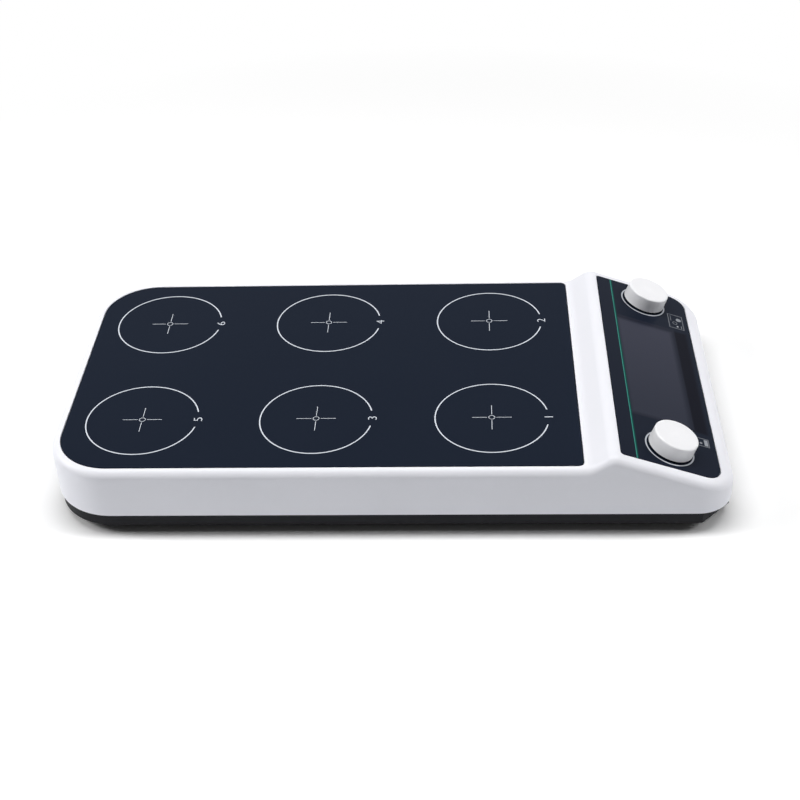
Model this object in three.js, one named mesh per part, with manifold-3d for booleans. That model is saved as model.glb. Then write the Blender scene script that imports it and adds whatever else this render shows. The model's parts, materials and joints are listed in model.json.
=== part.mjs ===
// Multi-position magnetic stirrer: a flat casing with six numbered stirring places under a dark plate,
// and a raised sloping console with two push-and-turn knobs and a wide display. Lengths are in
// millimetres. +X runs along the casing to the console, +Z is up, and the origin lies on the bench
// under the middle of the casing. The power socket and switch are in the far end wall, at -X.

import * as THREE from 'three';
import { mergeVertices } from 'three/addons/utils/BufferGeometryUtils.js';
import Module from 'manifold-3d';

const wasm = await Module();
wasm.setup();

// Fits
const seatGap = 0.3;
const runningGap = 0.15;
const overrun = 2;
const weldDistance = 0.0001;

// Casing, its foot line and its rounded edges
const casingLength = 356.6;
const casingWidth = 184.4;
const casingHeight = 28.75;
const casingWall = 2.5;
const roofDepth = 5.2;
const leftCornerRadius = 33.5;
const rightCornerRadius = 19.5;
const topEdgeRadius = 4.5;
const bottomEdgeRadius = 0.8;

// Base tray and what it stands on
const footHeight = 5.1;
const footRadius = 9;
const footTopRadius = 8.6;
const footEdge = 0.8;
const footRecess = 1;
const footInsetX = 28.3;
const footInsetY = 26.2;
const trayHeight = 6.65;
const trayFloor = 2.5;
const trayWall = 2;
const trayInset = 1;
const trayEdge = 0.6;
const trayChamfer = 16.8;
const tongueHeight = 2;

// Base screws and the bosses that take them
const bossInset = 10;
const casingBossRadius = 4;
const trayBossRadius = 5.5;
const baseShankRadius = 1.4;
const baseHeadRadius = 3;
const baseHeadHeight = 1.8;
const baseHeadDepth = 4;
const baseScrewLength = 12;
const socketRadius = 1.3;
const socketDepth = 1;
const socketSides = 6;
const headEdgeShare = 0.33;

// Stirring plate and its places
const plateThickness = 2.7;
const plateLeftMargin = 5;
const plateRightMargin = 2.7;
const plateSideMargin = 4.5;
const plateLeftRadius = 29;
const plateRightRadius = 3;
const ledgeWidth = 9.5;
const placeEndMargin = 43.4;
const placeSideMargin = 41.1;
const placeColumns = 3;
const placeRows = 2;
const placeOffset = -2.5;

// Ridge and console slope
const consoleLength = 75.7;
const ridgeAngle = 34;
const ridgeFootRadius = 8;
const ridgeCrestRadius = 7.5;
const consoleAngle = 19.4;
const panelFootGap = 15.86;
const panelRise = 6.08;
const panelEndGap = 7.59;
const panelSideMargin = 6.45;
const panelThickness = 1;
const panelUpperRadius = 1.5;
const panelLowerRadius = 9.5;

// Display
const windowSetback = 9.5;
const windowLowerMargin = 12.4;
const windowKnobGap = 21.5;
const lcdMargin = 1.5;
const lcdThickness = 2;
const lightBoxWall = 2.5;

// Knobs
const knobSetbackShare = 0.505;
const knobEndMargin = 15.75;
const knobFootRadius = 12.2;
const knobTopRadius = 12;
const knobHeight = 9.5;
const knobLift = 1.2;
const knobWall = 1.5;
const knobTopThickness = 2.2;
const knobEdgeRadius = 0.9;
const knobHubRadius = 5;

// Encoders under the knobs
const shaftRadius = 3;
const shaftFlatDepth = 1;
const shaftTipGap = 0.4;
const bushingRadius = 4.5;
const bushingStep = 0.6;
const encoderWidth = 13.2;
const encoderHeight = 6.5;
const encoderFloor = 0.6;
const pushTravel = 0.8;
const pushStop = 0.4;
const sliderThickness = 0.8;
const sliderRadius = 2.9;

// Control board behind the console
const boardThickness = 1.6;
const boardDepth = 12.5;
const controlSetback = 4;
const controlLowerGap = 11.4;
const controlSideGap = 12.2;
const controlCorner = 2;
const controlScrewInsetX = 3.5;
const controlScrewInsetY = 22;
const controlBossRadius = 3;
const controlShankRadius = 1.2;
const controlHeadRadius = 2.5;
const controlHeadHeight = 1.5;
const controlScrewLength = 6;
const chipWidth = 9;
const chipHeight = 1.2;
const chipPitch = 24;
const controlChips = 3;

// Drive board under the plate
const driveFloorGap = 4.5;
const driveEndGap = 6;
const driveSideGap = 21.2;
const driveCorner = 12;
const stakeRadius = 1.2;
const stakeHeadRadius = 2.2;
const stakeHeadHeight = 1;
const stakeStandRadius = 3;
const stakeEdge = 8;
const capacitorRadius = 5;
const capacitorHeight = 12;
const capacitorPitch = 12;
const capacitorCount = 2;

// Coil stators, one under each place
const statorRadius = 24;
const statorBase = 1.6;
const coilCount = 6;
const coilRadius = 6.2;
const coilCircle = 16;
const coilHeight = 5.2;
const hubRadius = 7.2;
const bearingSeat = 2.4;

// Bearings
const bearingRadius = 5;
const bearingBore = 2;
const bearingHeight = 4;

// Rotors and their bar magnets
const rotorRadius = 26;
const rotorThickness = 2.8;
const rotorHubRadius = 4;
const rotorHubHeight = 1.2;
const rotorShaftLength = 6;
const magnetLength = 42;
const magnetWidth = 10;
const magnetHeight = 7;
const magnetCorner = 1.5;
const cradleWall = 1.8;
const cradleHeight = 5;

// Power socket
const inletY = 30;
const inletWidth = 11;
const inletHeight = 11.4;
const inletLength = 14;
const inletRecess = 5;
const inletBoreRadius = 3.15;
const inletBoreDepth = 9.5;
const inletPinRadius = 1;
const inletPinLength = 8.5;
const portRadius = 5.4;

// Power switch
const switchY = -30;
const switchRise = 10.4;
const switchFlangeWidth = 21;
const switchFlangeHeight = 14.8;
const switchFlangeThickness = 1;
const switchBodyWidth = 19;
const switchBodyHeight = 12.6;
const switchBodyDepth = 14;
const rockerTilt = 7;
const rockerHalfLength = 6.6;
const rockerHeight = 10;
const rockerBackHalfLength = 4;
const rockerBackDepth = 3;
const rockerPivotDepth = 3;
const rockerPinRadius = 1.2;
const rockerPinLength = 1.1;
const wellEndGap = 0.9;

// Ribbon cable between the boards, and the headers that it meets
const ribbonWidth = 20;
const ribbonThickness = 1;
const ribbonPlace = -24;
const headerLength = 5;
const headerHeight = 4;
const headerSetback = 26;
const ribbonSag = 3;
const ribbonSteps = 14;

// Facets: sides of round pieces and steps of rounded corners
const fineSides = 36;
const roundSides = 16;
const smallSides = 8;
const cornerSteps = 6;
const edgeSteps = 3;
const ridgeSteps = 4;

const degree = Math.PI / 180;
const quarterTurn = Math.PI / 2;

// Levels and places that follow from the sizes above
const rightEnd = casingLength / 2;
const leftEnd = -casingLength / 2;
const halfWidth = casingWidth / 2;
const trayTop = footHeight + trayHeight;
const trayFloorTop = footHeight + trayFloor;
const casingBottom = trayTop + seatGap;
const deckHeight = casingBottom + casingHeight;
const plateLength = casingLength - consoleLength - plateLeftMargin - plateRightMargin;
const plateWidth = casingWidth - 2 * plateSideMargin;
const plateCentreX = leftEnd + plateLeftMargin + plateLength / 2;
const placeGridX = plateCentreX + placeOffset;
const placePitchX = (plateLength - 2 * placeEndMargin) / (placeColumns - 1);
const placePitchY = (plateWidth - 2 * placeSideMargin) / (placeRows - 1);
const panelSetback = consoleLength - panelFootGap;
const panelLength = (panelSetback - panelEndGap) / Math.cos(consoleAngle * degree);
const panelWidth = casingWidth - 2 * panelSideMargin;
const knobSpacing = panelWidth - 2 * knobEndMargin;
const knobSetback = panelLength * knobSetbackShare;
const windowLength = panelLength - windowSetback - windowLowerMargin;
const windowWidth = knobSpacing - 2 * windowKnobGap;
const controlLength = panelLength - controlSetback - controlLowerGap;
const controlWidth = casingWidth - 2 * controlSideGap;
const driveWidth = casingWidth - 2 * driveSideGap;
const driveBottom = trayFloorTop + driveFloorGap;
const driveTop = driveBottom + boardThickness;
const stationBase = driveTop + seatGap;

// Basic solids

function solid(geometry) {
  const bare = geometry.clone();
  bare.deleteAttribute('normal');
  bare.deleteAttribute('uv');
  const merged = mergeVertices(bare, weldDistance);
  const corners = [];
  for (let i = 0; i < merged.index.count; i += 3) {
    const [a, b, c] = merged.index.array.slice(i, i + 3);
    // A triangle at a turned body's axis has two corners in one point and is left out.
    if (a !== b && b !== c && c !== a) corners.push(a, b, c);
  }
  const vertProperties = Float32Array.from(merged.attributes.position.array);
  const triVerts = Uint32Array.from(corners);
  return new wasm.Manifold(new wasm.Mesh({ numProp: 3, vertProperties, triVerts }));
}

function join(geometries) {
  return geometries.map(solid).reduce((body, other) => body.add(other));
}

function cut(body, geometries) {
  return geometries.map(solid).reduce((rest, tool) => rest.subtract(tool), body);
}

// A box between two opposite corners
function block([x0, y0, z0], [x1, y1, z1]) {
  const geometry = new THREE.BoxGeometry(x1 - x0, y1 - y0, z1 - z0);
  return geometry.translate((x0 + x1) / 2, (y0 + y1) / 2, (z0 + z1) / 2);
}

// A round column that stands along Z from low to high
function column(radius, low, high, [x, y] = [0, 0], sides = roundSides) {
  const geometry = new THREE.CylinderGeometry(radius, radius, high - low, sides);
  return geometry.rotateX(quarterTurn).translate(x, y, (low + high) / 2);
}

// A body turned about Z; its profile is a list of [radius, height], from the bottom up on the outside
function turned(profile, sides = roundSides) {
  const points = profile.map(([radius, height]) => new THREE.Vector2(radius, height));
  return new THREE.LatheGeometry(points, sides).rotateX(quarterTurn);
}

function slab(shape, low, high, steps = cornerSteps) {
  const options = { depth: high - low, bevelEnabled: false, curveSegments: steps };
  return new THREE.ExtrudeGeometry(shape, options).translate(0, 0, low);
}

// A rectangle centred on [x, y], with one corner radius at its left end and one at its right
function roundedShape(length, width, leftRadius, rightRadius, [x, y] = [0, 0]) {
  const shape = new THREE.Shape();
  const [left, right, low, high] = [x - length / 2, x + length / 2, y - width / 2, y + width / 2];
  shape.absarc(left + leftRadius, low + leftRadius, leftRadius, Math.PI, 3 * quarterTurn);
  shape.absarc(right - rightRadius, low + rightRadius, rightRadius, -quarterTurn, 0);
  shape.absarc(right - rightRadius, high - rightRadius, rightRadius, 0, quarterTurn);
  shape.absarc(left + leftRadius, high - leftRadius, leftRadius, quarterTurn, Math.PI);
  return shape;
}

// Side view of the casing's top: deck, ridge and console slope

// Points of the arc that rounds a corner of a side view; angles are the way in and the way out
function roundedCorner([x, z], angleIn, angleOut, radius) {
  const turn = angleOut - angleIn;
  const side = Math.sign(turn);
  const reach = radius * Math.tan(Math.abs(turn) / 2);
  const centreX = x - reach * Math.cos(angleIn) - side * radius * Math.sin(angleIn);
  const centreZ = z - reach * Math.sin(angleIn) + side * radius * Math.cos(angleIn);
  const points = [];
  for (let i = 0; i <= ridgeSteps; i += 1) {
    const angle = angleIn + (turn * i) / ridgeSteps;
    points.push([centreX + side * radius * Math.sin(angle), centreZ - side * radius * Math.cos(angle)]);
  }
  return points;
}

function topProfile() {
  const rise = Math.tan(ridgeAngle * degree);
  const fall = Math.tan(consoleAngle * degree);
  const footX = rightEnd - consoleLength;
  const panelX = rightEnd - panelSetback;
  const crestX = (panelRise + rise * footX + fall * panelX) / (rise + fall);
  const crestZ = deckHeight + rise * (crestX - footX);
  return [
    [leftEnd, deckHeight],
    ...roundedCorner([footX, deckHeight], 0, ridgeAngle * degree, ridgeFootRadius),
    ...roundedCorner([crestX, crestZ], ridgeAngle * degree, -consoleAngle * degree, ridgeCrestRadius),
    [rightEnd, deckHeight + panelRise - fall * panelSetback],
  ];
}

const profile = topProfile();

function topAt(x) {
  const next = Math.max(1, profile.findIndex(([place]) => place >= x));
  const [[x0, z0], [x1, z1]] = [profile[next - 1], profile[next]];
  return z0 + ((z1 - z0) * (x - x0)) / (x1 - x0);
}

// The two right corners: round on the casing's outside, and a straight chamfer, which is a corner in
// one step, on the tray and inside the casing where the tray's rim fits
const roundCorners = { radius: rightCornerRadius, steps: cornerSteps };
const chamferedCorners = { radius: trayChamfer, steps: 1 };

// Outline of the casing seen from above, drawn in by an inset. The points run from the left end to the
// right end on the +Y side, past the given stations, and back on the -Y side, so that point i faces
// point n - 1 - i.
function outline(inset, rightCorners, stations) {
  const half = [];
  const corner = (centreX, { radius, steps }, from) => {
    for (let i = 0; i <= steps; i += 1) {
      const angle = from - (quarterTurn * i) / steps;
      const reach = radius - inset;
      half.push([centreX + reach * Math.cos(angle), halfWidth - radius + reach * Math.sin(angle)]);
    }
  };
  corner(leftEnd + leftCornerRadius, { radius: leftCornerRadius, steps: cornerSteps }, Math.PI);
  stations.forEach(([x]) => half.push([x, halfWidth - inset]));
  corner(rightEnd - rightCorners.radius, rightCorners, quarterTurn);
  return [...half, ...half.map(([x, y]) => [x, -y]).reverse()];
}

// A ring of a loft that follows the side view: the outline at an inset, at a height for each x
function profileRing(inset, rightCorners, height) {
  return outline(inset, rightCorners, profile.slice(1, -1)).map(([x, y]) => [x, y, height(x)]);
}

// A level ring of a loft for the tray
function trayRing(inset, height) {
  return outline(inset, chamferedCorners, []).map(([x, y]) => [x, y, height]);
}

// A closed body through rings from the bottom up, closed by strips across Y at both ends
function loft(rings) {
  const count = rings[0].length;
  const index = [];
  const quad = (a, b, c, d) => index.push(a, b, c, a, c, d);
  for (let level = 1; level < rings.length; level += 1) {
    for (let i = 0; i < count; i += 1) {
      const j = (i + 1) % count;
      const [low, high] = [(level - 1) * count, level * count];
      quad(low + j, low + i, high + i, high + j);
    }
  }
  const top = (rings.length - 1) * count;
  for (let i = 0; i < count / 2 - 1; i += 1) {
    const [a, b, c, d] = [i, i + 1, count - 2 - i, count - 1 - i];
    quad(a, b, c, d);
    quad(top + d, top + c, top + b, top + a);
  }
  const geometry = new THREE.BufferGeometry();
  geometry.setAttribute('position', new THREE.Float32BufferAttribute(rings.flat(2), 3));
  geometry.setIndex(index);
  return geometry;
}

// Frames and repeated places

// The console's frame: origin at the middle of the panel's upper edge, X down the slope, Z out of it
const slope = new THREE.Group();
slope.position.set(rightEnd - panelSetback, 0, deckHeight + panelRise);
slope.rotation.y = consoleAngle * degree;
slope.updateMatrix();

function onSlope(geometry) {
  return geometry.applyMatrix4(slope.matrix);
}

const knobPlaces = [-1, 1].map((side) => [knobSetback, (side * knobSpacing) / 2]);

// Place 1 is nearest the console at the front, and the numbers run in pairs towards the far end.
function stirringPlaces() {
  const places = [];
  for (let column = placeColumns - 1; column >= 0; column -= 1) {
    for (let row = 0; row < placeRows; row += 1) {
      const x = placeGridX + (column - (placeColumns - 1) / 2) * placePitchX;
      places.push([x, (row - (placeRows - 1) / 2) * placePitchY]);
    }
  }
  return places;
}

// Screws at the tray's four corners, drawn in along each corner's diagonal, and one in each long side
function baseScrewPlaces() {
  const reach = (leftCornerRadius - bossInset) * Math.SQRT1_2 - leftCornerRadius;
  const middle = placeGridX + placePitchX / 2;
  const places = [[-rightEnd - reach, halfWidth + reach], [middle, halfWidth - bossInset]];
  places.push([rightEnd + reach, halfWidth + reach]);
  return [...places, ...places.map(([x, y]) => [x, -y])];
}

function footPlaces() {
  const [x, y] = [rightEnd - footInsetX, halfWidth - footInsetY];
  return [[-x, -y], [x, -y], [-x, y], [x, y]];
}

function controlScrewPlaces() {
  const middle = controlSetback + controlLength / 2;
  const [reachX, reachY] = [controlLength / 2 - controlScrewInsetX, controlWidth / 2 - controlScrewInsetY];
  return [[-1, -1], [1, -1], [-1, 1], [1, 1]].map(([sx, sy]) => [middle + sx * reachX, sy * reachY]);
}

const drivePlate = {
  left: leftEnd + driveEndGap,
  right: plateCentreX + plateLength / 2 - ledgeWidth - driveEndGap,
};

// Places along the board between one column of stirring places and the next
function columnGaps() {
  const gaps = [];
  for (let column = 1; column < placeColumns; column += 1) {
    gaps.push(placeGridX + (column - placeColumns / 2) * placePitchX);
  }
  return gaps;
}

// Heat-staked pins between the stirring places, and at both ends of the board's middle line
function stakePlaces() {
  const edge = driveWidth / 2 - stakeEdge;
  const inner = columnGaps().flatMap((x) => [[x, -edge], [x, 0], [x, edge]]);
  return [...inner, [drivePlate.left + stakeEdge, 0], [drivePlate.right - stakeEdge, 0]];
}

// Pieces, each with a name and a material of its own

const stirrer = new THREE.Group();
stirrer.add(slope);

function addPiece(parent, name, body, [colour, roughness, metalness]) {
  const mesh = body.getMesh();
  const geometry = new THREE.BufferGeometry();
  geometry.setAttribute('position', new THREE.Float32BufferAttribute(mesh.vertProperties, 3));
  geometry.setIndex([...mesh.triVerts]);
  geometry.computeVertexNormals();
  const material = new THREE.MeshStandardMaterial({ color: colour, roughness, metalness });
  const piece = new THREE.Mesh(geometry, material);
  piece.name = name;
  parent.add(piece);
  return piece;
}

const whitePlastic = [0xf0f1f4, 0.4, 0];
const blackPlastic = [0x232324, 0.55, 0];
const darkPlate = [0x242a36, 0.45, 0];
const darkFilm = [0x22262f, 0.15, 0];
const rubber = [0x1b1b1c, 0.85, 0];
const steel = [0x9a9da1, 0.35, 1];
const nickel = [0xc4c4c0, 0.25, 1];
const copper = [0xb4693a, 0.4, 1];
const greenBoard = [0x1f5a3c, 0.5, 0];
const greyPlastic = [0x8b8f96, 0.5, 0];
const liquidCrystal = [0x6b7378, 0.2, 0];

// Upper casing: a moulded shell, open below, with a ledge for the plate and a seat for the panel

const plateSeat = deckHeight - plateThickness - seatGap;
const panelSeat = -(panelThickness + seatGap);
const pilotRadius = baseShankRadius + seatGap;
const inletCentreZ = stationBase + inletHeight / 2;
const switchCentreZ = casingBottom + switchRise;

// Outlines of the plate and of the panel, grown by a gap
function plateShape(gap) {
  const [length, width] = [plateLength + 2 * gap, plateWidth + 2 * gap];
  return roundedShape(length, width, plateLeftRadius + gap, plateRightRadius + gap, [plateCentreX, 0]);
}

function panelShape(gap) {
  const [length, width] = [panelLength + 2 * gap, panelWidth + 2 * gap];
  return roundedShape(length, width, panelUpperRadius + gap, panelLowerRadius + gap, [panelLength / 2, 0]);
}

// A box under the display window, wider than it by a margin all round
function displayBlock(margin, low, high) {
  const [left, right] = [windowSetback - margin, windowSetback + windowLength + margin];
  return block([left, -windowWidth / 2 - margin, low], [right, windowWidth / 2 + margin, high]);
}

function casingRings() {
  const edgeTop = casingBottom + bottomEdgeRadius;
  const wallRing = (inset, height) => profileRing(inset, roundCorners, height);
  const rings = [wallRing(bottomEdgeRadius, () => casingBottom), wallRing(0, () => edgeTop)];
  for (let i = 0; i <= edgeSteps; i += 1) {
    const angle = (quarterTurn * i) / edgeSteps;
    const drop = topEdgeRadius * (1 - Math.sin(angle));
    rings.push(wallRing(topEdgeRadius * (1 - Math.cos(angle)), (x) => topAt(x) - drop));
  }
  return rings;
}

function upperCasing() {
  const outer = solid(loft(casingRings()));
  const hollow = solid(loft([
    profileRing(casingWall, chamferedCorners, () => casingBottom - overrun),
    profileRing(casingWall, chamferedCorners, (x) => topAt(x) - roofDepth),
  ]));
  const baseBosses = baseScrewPlaces().map((place) => column(casingBossRadius, trayTop, deckHeight, place));
  const boardBosses = controlScrewPlaces().map((place) => onSlope(
    column(controlBossRadius, seatGap - boardDepth, 0, place, smallSides),
  ));
  const shell = outer.subtract(cut(hollow, [...baseBosses, ...boardBosses]));
  const plateRecess = slab(plateShape(seatGap), plateSeat, deckHeight + overrun);
  const openingShape = roundedShape(
    plateLength - 2 * ledgeWidth,
    plateWidth - 2 * ledgeWidth,
    plateLeftRadius - ledgeWidth,
    plateRightRadius,
    [plateCentreX, 0],
  );
  const plateOpening = slab(openingShape, deckHeight - roofDepth - overrun, deckHeight);
  const panelRecess = onSlope(slab(panelShape(seatGap), panelSeat, overrun));
  const displayOpening = onSlope(displayBlock(lcdMargin + seatGap, -roofDepth - overrun, 0));
  const bushingHoles = knobPlaces.map((place) => onSlope(
    column(bushingRadius + seatGap, -roofDepth - overrun, 0, place),
  ));
  const pilotTop = footHeight + baseHeadDepth + baseScrewLength;
  const basePilots = baseScrewPlaces().map((place) => column(
    pilotRadius,
    trayTop - overrun,
    pilotTop,
    place,
    smallSides,
  ));
  const boardPilots = controlScrewPlaces().map((place) => onSlope(column(
    controlShankRadius + seatGap,
    -boardDepth - overrun,
    controlScrewLength - boardDepth,
    place,
    smallSides,
  )));
  const port = new THREE.CylinderGeometry(portRadius, portRadius, 2 * (casingWall + overrun), roundSides);
  port.rotateZ(quarterTurn).translate(leftEnd, inletY, inletCentreZ);
  const [reachY, reachZ] = [switchBodyWidth / 2 + seatGap, switchBodyHeight / 2 + seatGap];
  const switchHole = block(
    [leftEnd - overrun, switchY - reachY, switchCentreZ - reachZ],
    [leftEnd + casingWall + overrun, switchY + reachY, switchCentreZ + reachZ],
  );
  return cut(shell, [
    plateRecess,
    plateOpening,
    panelRecess,
    displayOpening,
    ...bushingHoles,
    ...basePilots,
    ...boardPilots,
    port,
    switchHole,
  ]);
}

addPiece(stirrer, 'upper_casing', upperCasing(), whitePlastic);

// Base tray: closes the casing, with a tongue inside its wall, screw bosses and stakes for the board

const tongueInset = casingWall + seatGap;
const tongueTop = trayTop + tongueHeight;
const baseSeat = footHeight + baseHeadDepth;

function baseTray() {
  const outer = solid(loft([
    trayRing(trayInset + trayEdge, footHeight),
    trayRing(trayInset, footHeight + trayEdge),
    trayRing(trayInset, trayTop),
  ]));
  const tongue = solid(loft([trayRing(tongueInset, trayFloorTop), trayRing(tongueInset, tongueTop)]));
  const hollow = solid(loft([
    trayRing(tongueInset + trayWall, trayFloorTop),
    trayRing(tongueInset + trayWall, tongueTop + overrun),
  ]));
  const bosses = baseScrewPlaces().map((place) => column(
    trayBossRadius,
    footHeight,
    trayTop - seatGap,
    place,
  ));
  const [headLow, headHigh] = [driveTop + seatGap, driveTop + seatGap + stakeHeadHeight];
  const stakes = stakePlaces().flatMap((place) => [
    column(stakeStandRadius, footHeight + trayFloor / 2, driveBottom - seatGap, place, smallSides),
    column(stakeRadius, footHeight + trayFloor / 2, headHigh, place, smallSides),
    column(stakeHeadRadius, headLow, headHigh, place, smallSides),
  ]);
  const tray = outer.add(tongue).subtract(hollow).add(join([...bosses, ...stakes]));
  const recesses = footPlaces().map((place) => column(
    footRadius + seatGap,
    footHeight - overrun,
    footHeight + footRecess,
    place,
  ));
  const counterbores = baseScrewPlaces().map((place) => column(
    baseHeadRadius + seatGap,
    footHeight - overrun,
    baseSeat,
    place,
  ));
  const holes = baseScrewPlaces().map((place) => column(
    pilotRadius,
    footHeight,
    trayTop,
    place,
    smallSides,
  ));
  return cut(tray, [...recesses, ...counterbores, ...holes]);
}

addPiece(stirrer, 'base_tray', baseTray(), blackPlastic);

// Rubber feet, glued into the tray's round recesses

function foot() {
  const top = footHeight + footRecess - seatGap;
  return solid(turned([
    [0, 0],
    [footTopRadius - footEdge, 0],
    [footTopRadius, footEdge],
    [footRadius, footHeight],
    [footRadius, top],
    [0, top],
  ]));
}

footPlaces().forEach(([x, y], i) => {
  addPiece(stirrer, `foot_${i + 1}`, foot(), rubber).position.set(x, y, 0);
});

// Screws: a low head with a hexagon socket below, and a shank that stands up from it

function screw(headRadius, headHeight, shankRadius, length) {
  const edge = headHeight * headEdgeShare;
  const body = solid(turned([
    [0, -headHeight],
    [headRadius - edge, -headHeight],
    [headRadius, edge - headHeight],
    [headRadius, 0],
    [shankRadius, 0],
    [shankRadius, length],
    [0, length],
  ], smallSides));
  const [socketLow, socketHigh] = [-headHeight - overrun, socketDepth - headHeight];
  return cut(body, [column(socketRadius, socketLow, socketHigh, [0, 0], socketSides)]);
}

baseScrewPlaces().forEach(([x, y], i) => {
  const body = screw(baseHeadRadius, baseHeadHeight, baseShankRadius, baseScrewLength - seatGap);
  addPiece(stirrer, `base_screw_${i + 1}`, body, steel).position.set(x, y, baseSeat - seatGap);
});

// Stirring plate: flush with the deck, glued onto the ledge

const stirringPlate = solid(slab(plateShape(0), deckHeight - plateThickness, deckHeight));

addPiece(stirrer, 'stirring_plate', stirringPlate, darkPlate);

// Console panel: a stiff overlay in its seat, with a hole for each knob's shaft

function consolePanel() {
  const holes = knobPlaces.map((place) => column(bushingRadius + seatGap, -overrun, overrun, place));
  return cut(solid(slab(panelShape(0), -panelThickness, 0)), holes);
}

addPiece(slope, 'console_panel', consolePanel(), darkFilm);

// Display: a liquid crystal cell in the casing's opening, carried by a light box on the control board

const lcdTop = -(panelThickness + seatGap);
const lightBoxTop = lcdTop - lcdThickness - seatGap;
const lightBoxBottom = seatGap - boardDepth;

const lcdPanel = solid(displayBlock(lcdMargin, lcdTop - lcdThickness, lcdTop));

addPiece(slope, 'lcd_panel', lcdPanel, liquidCrystal);

function lightBox() {
  const outer = solid(displayBlock(lcdMargin, lightBoxBottom, lightBoxTop));
  const roof = lightBoxTop - lightBoxWall;
  const hollow = displayBlock(lcdMargin - lightBoxWall, lightBoxBottom - overrun, roof);
  return cut(outer, [hollow]);
}

addPiece(slope, 'lcd_light_box', lightBox(), whitePlastic);

// Control board: screwed to bosses under the slope; its chips and the ribbon's header face down

const controlBottom = -boardDepth - boardThickness;

function controlBoard() {
  const middle = [controlSetback + controlLength / 2, 0];
  const shape = roundedShape(controlLength, controlWidth, controlCorner, controlCorner, middle);
  const chips = [];
  for (let i = 1; i <= controlChips; i += 1) {
    const y = ribbonPlace + i * chipPitch;
    chips.push(block(
      [middle[0] - chipWidth / 2, y - chipWidth / 2, controlBottom - chipHeight],
      [middle[0] + chipWidth / 2, y + chipWidth / 2, -boardDepth - boardThickness / 2],
    ));
  }
  const header = block(
    [headerSetback - headerLength / 2, ribbonPlace - ribbonWidth / 2, controlBottom - headerHeight],
    [headerSetback + headerLength / 2, ribbonPlace + ribbonWidth / 2, -boardDepth - boardThickness / 2],
  );
  const board = join([slab(shape, controlBottom, -boardDepth, edgeSteps), ...chips, header]);
  const holes = controlScrewPlaces().map((place) => column(
    controlShankRadius + seatGap,
    controlBottom - overrun,
    overrun - boardDepth,
    place,
    smallSides,
  ));
  return cut(board, holes);
}

addPiece(slope, 'control_board', controlBoard(), greenBoard);

controlScrewPlaces().forEach(([x, y], i) => {
  const length = boardThickness + controlScrewLength;
  const body = screw(controlHeadRadius, controlHeadHeight, controlShankRadius, length);
  addPiece(slope, `control_screw_${i + 1}`, body, steel).position.set(x, y, controlBottom - seatGap);
});

// Encoders: a body with a bushing on the control board, a push slider at the bottom of its bore, a
// shaft that turns on the slider, and the knob. Slider, shaft and knob move down together when pushed.

const encoderBottom = seatGap - boardDepth;
const boreBottom = encoderBottom + encoderFloor;
const sliderBottom = boreBottom + pushStop + pushTravel;
const shaftBottom = sliderBottom + sliderThickness + seatGap;
const boreRadius = shaftRadius + runningGap;
const knobCeiling = knobHeight - knobTopThickness;
const shaftTip = knobCeiling - shaftTipGap;

function encoderBody() {
  const half = encoderWidth / 2;
  const box = block([-half, -half, encoderBottom], [half, half, encoderBottom + encoderHeight]);
  const bushing = column(bushingRadius, encoderBottom + encoderHeight / 2, -panelThickness - bushingStep);
  return cut(join([box, bushing]), [column(boreRadius, boreBottom, overrun)]);
}

function pushSlider() {
  return solid(column(sliderRadius, sliderBottom, sliderBottom + sliderThickness));
}

// The flat side of the shaft's end, and of the knob's bore: everything past depth is cut away
function flatTool(depth) {
  const reach = 2 * shaftRadius;
  return block([shaftRadius - depth, -reach, knobLift], [reach, reach, knobHeight]);
}

function encoderShaft() {
  return cut(solid(column(shaftRadius, shaftBottom, shaftTip)), [flatTool(shaftFlatDepth)]);
}

function knob() {
  const arc = [];
  for (let i = 0; i <= edgeSteps; i += 1) {
    const angle = (quarterTurn * i) / edgeSteps;
    const reach = knobTopRadius - knobEdgeRadius * (1 - Math.cos(angle));
    arc.push([reach, knobHeight - knobEdgeRadius * (1 - Math.sin(angle))]);
  }
  const inner = knobFootRadius - knobWall;
  const shell = solid(turned([
    [0, knobCeiling],
    [knobTopRadius - knobWall, knobCeiling],
    [inner, knobLift],
    [knobFootRadius, knobLift],
    ...arc,
    [0, knobHeight],
  ], fineSides));
  const hub = solid(column(knobHubRadius, knobLift, knobHeight - knobTopThickness / 2));
  const bore = solid(column(boreRadius, knobLift - overrun, knobCeiling));
  return shell.add(hub).subtract(cut(bore, [flatTool(shaftFlatDepth - runningGap)]));
}

['timer', 'speed'].forEach((name, i) => {
  const station = new THREE.Group();
  station.position.set(...knobPlaces[i], 0);
  slope.add(station);
  addPiece(station, `${name}_encoder_body`, encoderBody(), greyPlastic);
  addPiece(station, `${name}_push_slider`, pushSlider(), blackPlastic);
  addPiece(station, `${name}_encoder_shaft`, encoderShaft(), steel);
  addPiece(station, `${name}_knob`, knob(), whitePlastic);
});

// Drive board: lies on the tray's stands, held by the staked pins

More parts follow.
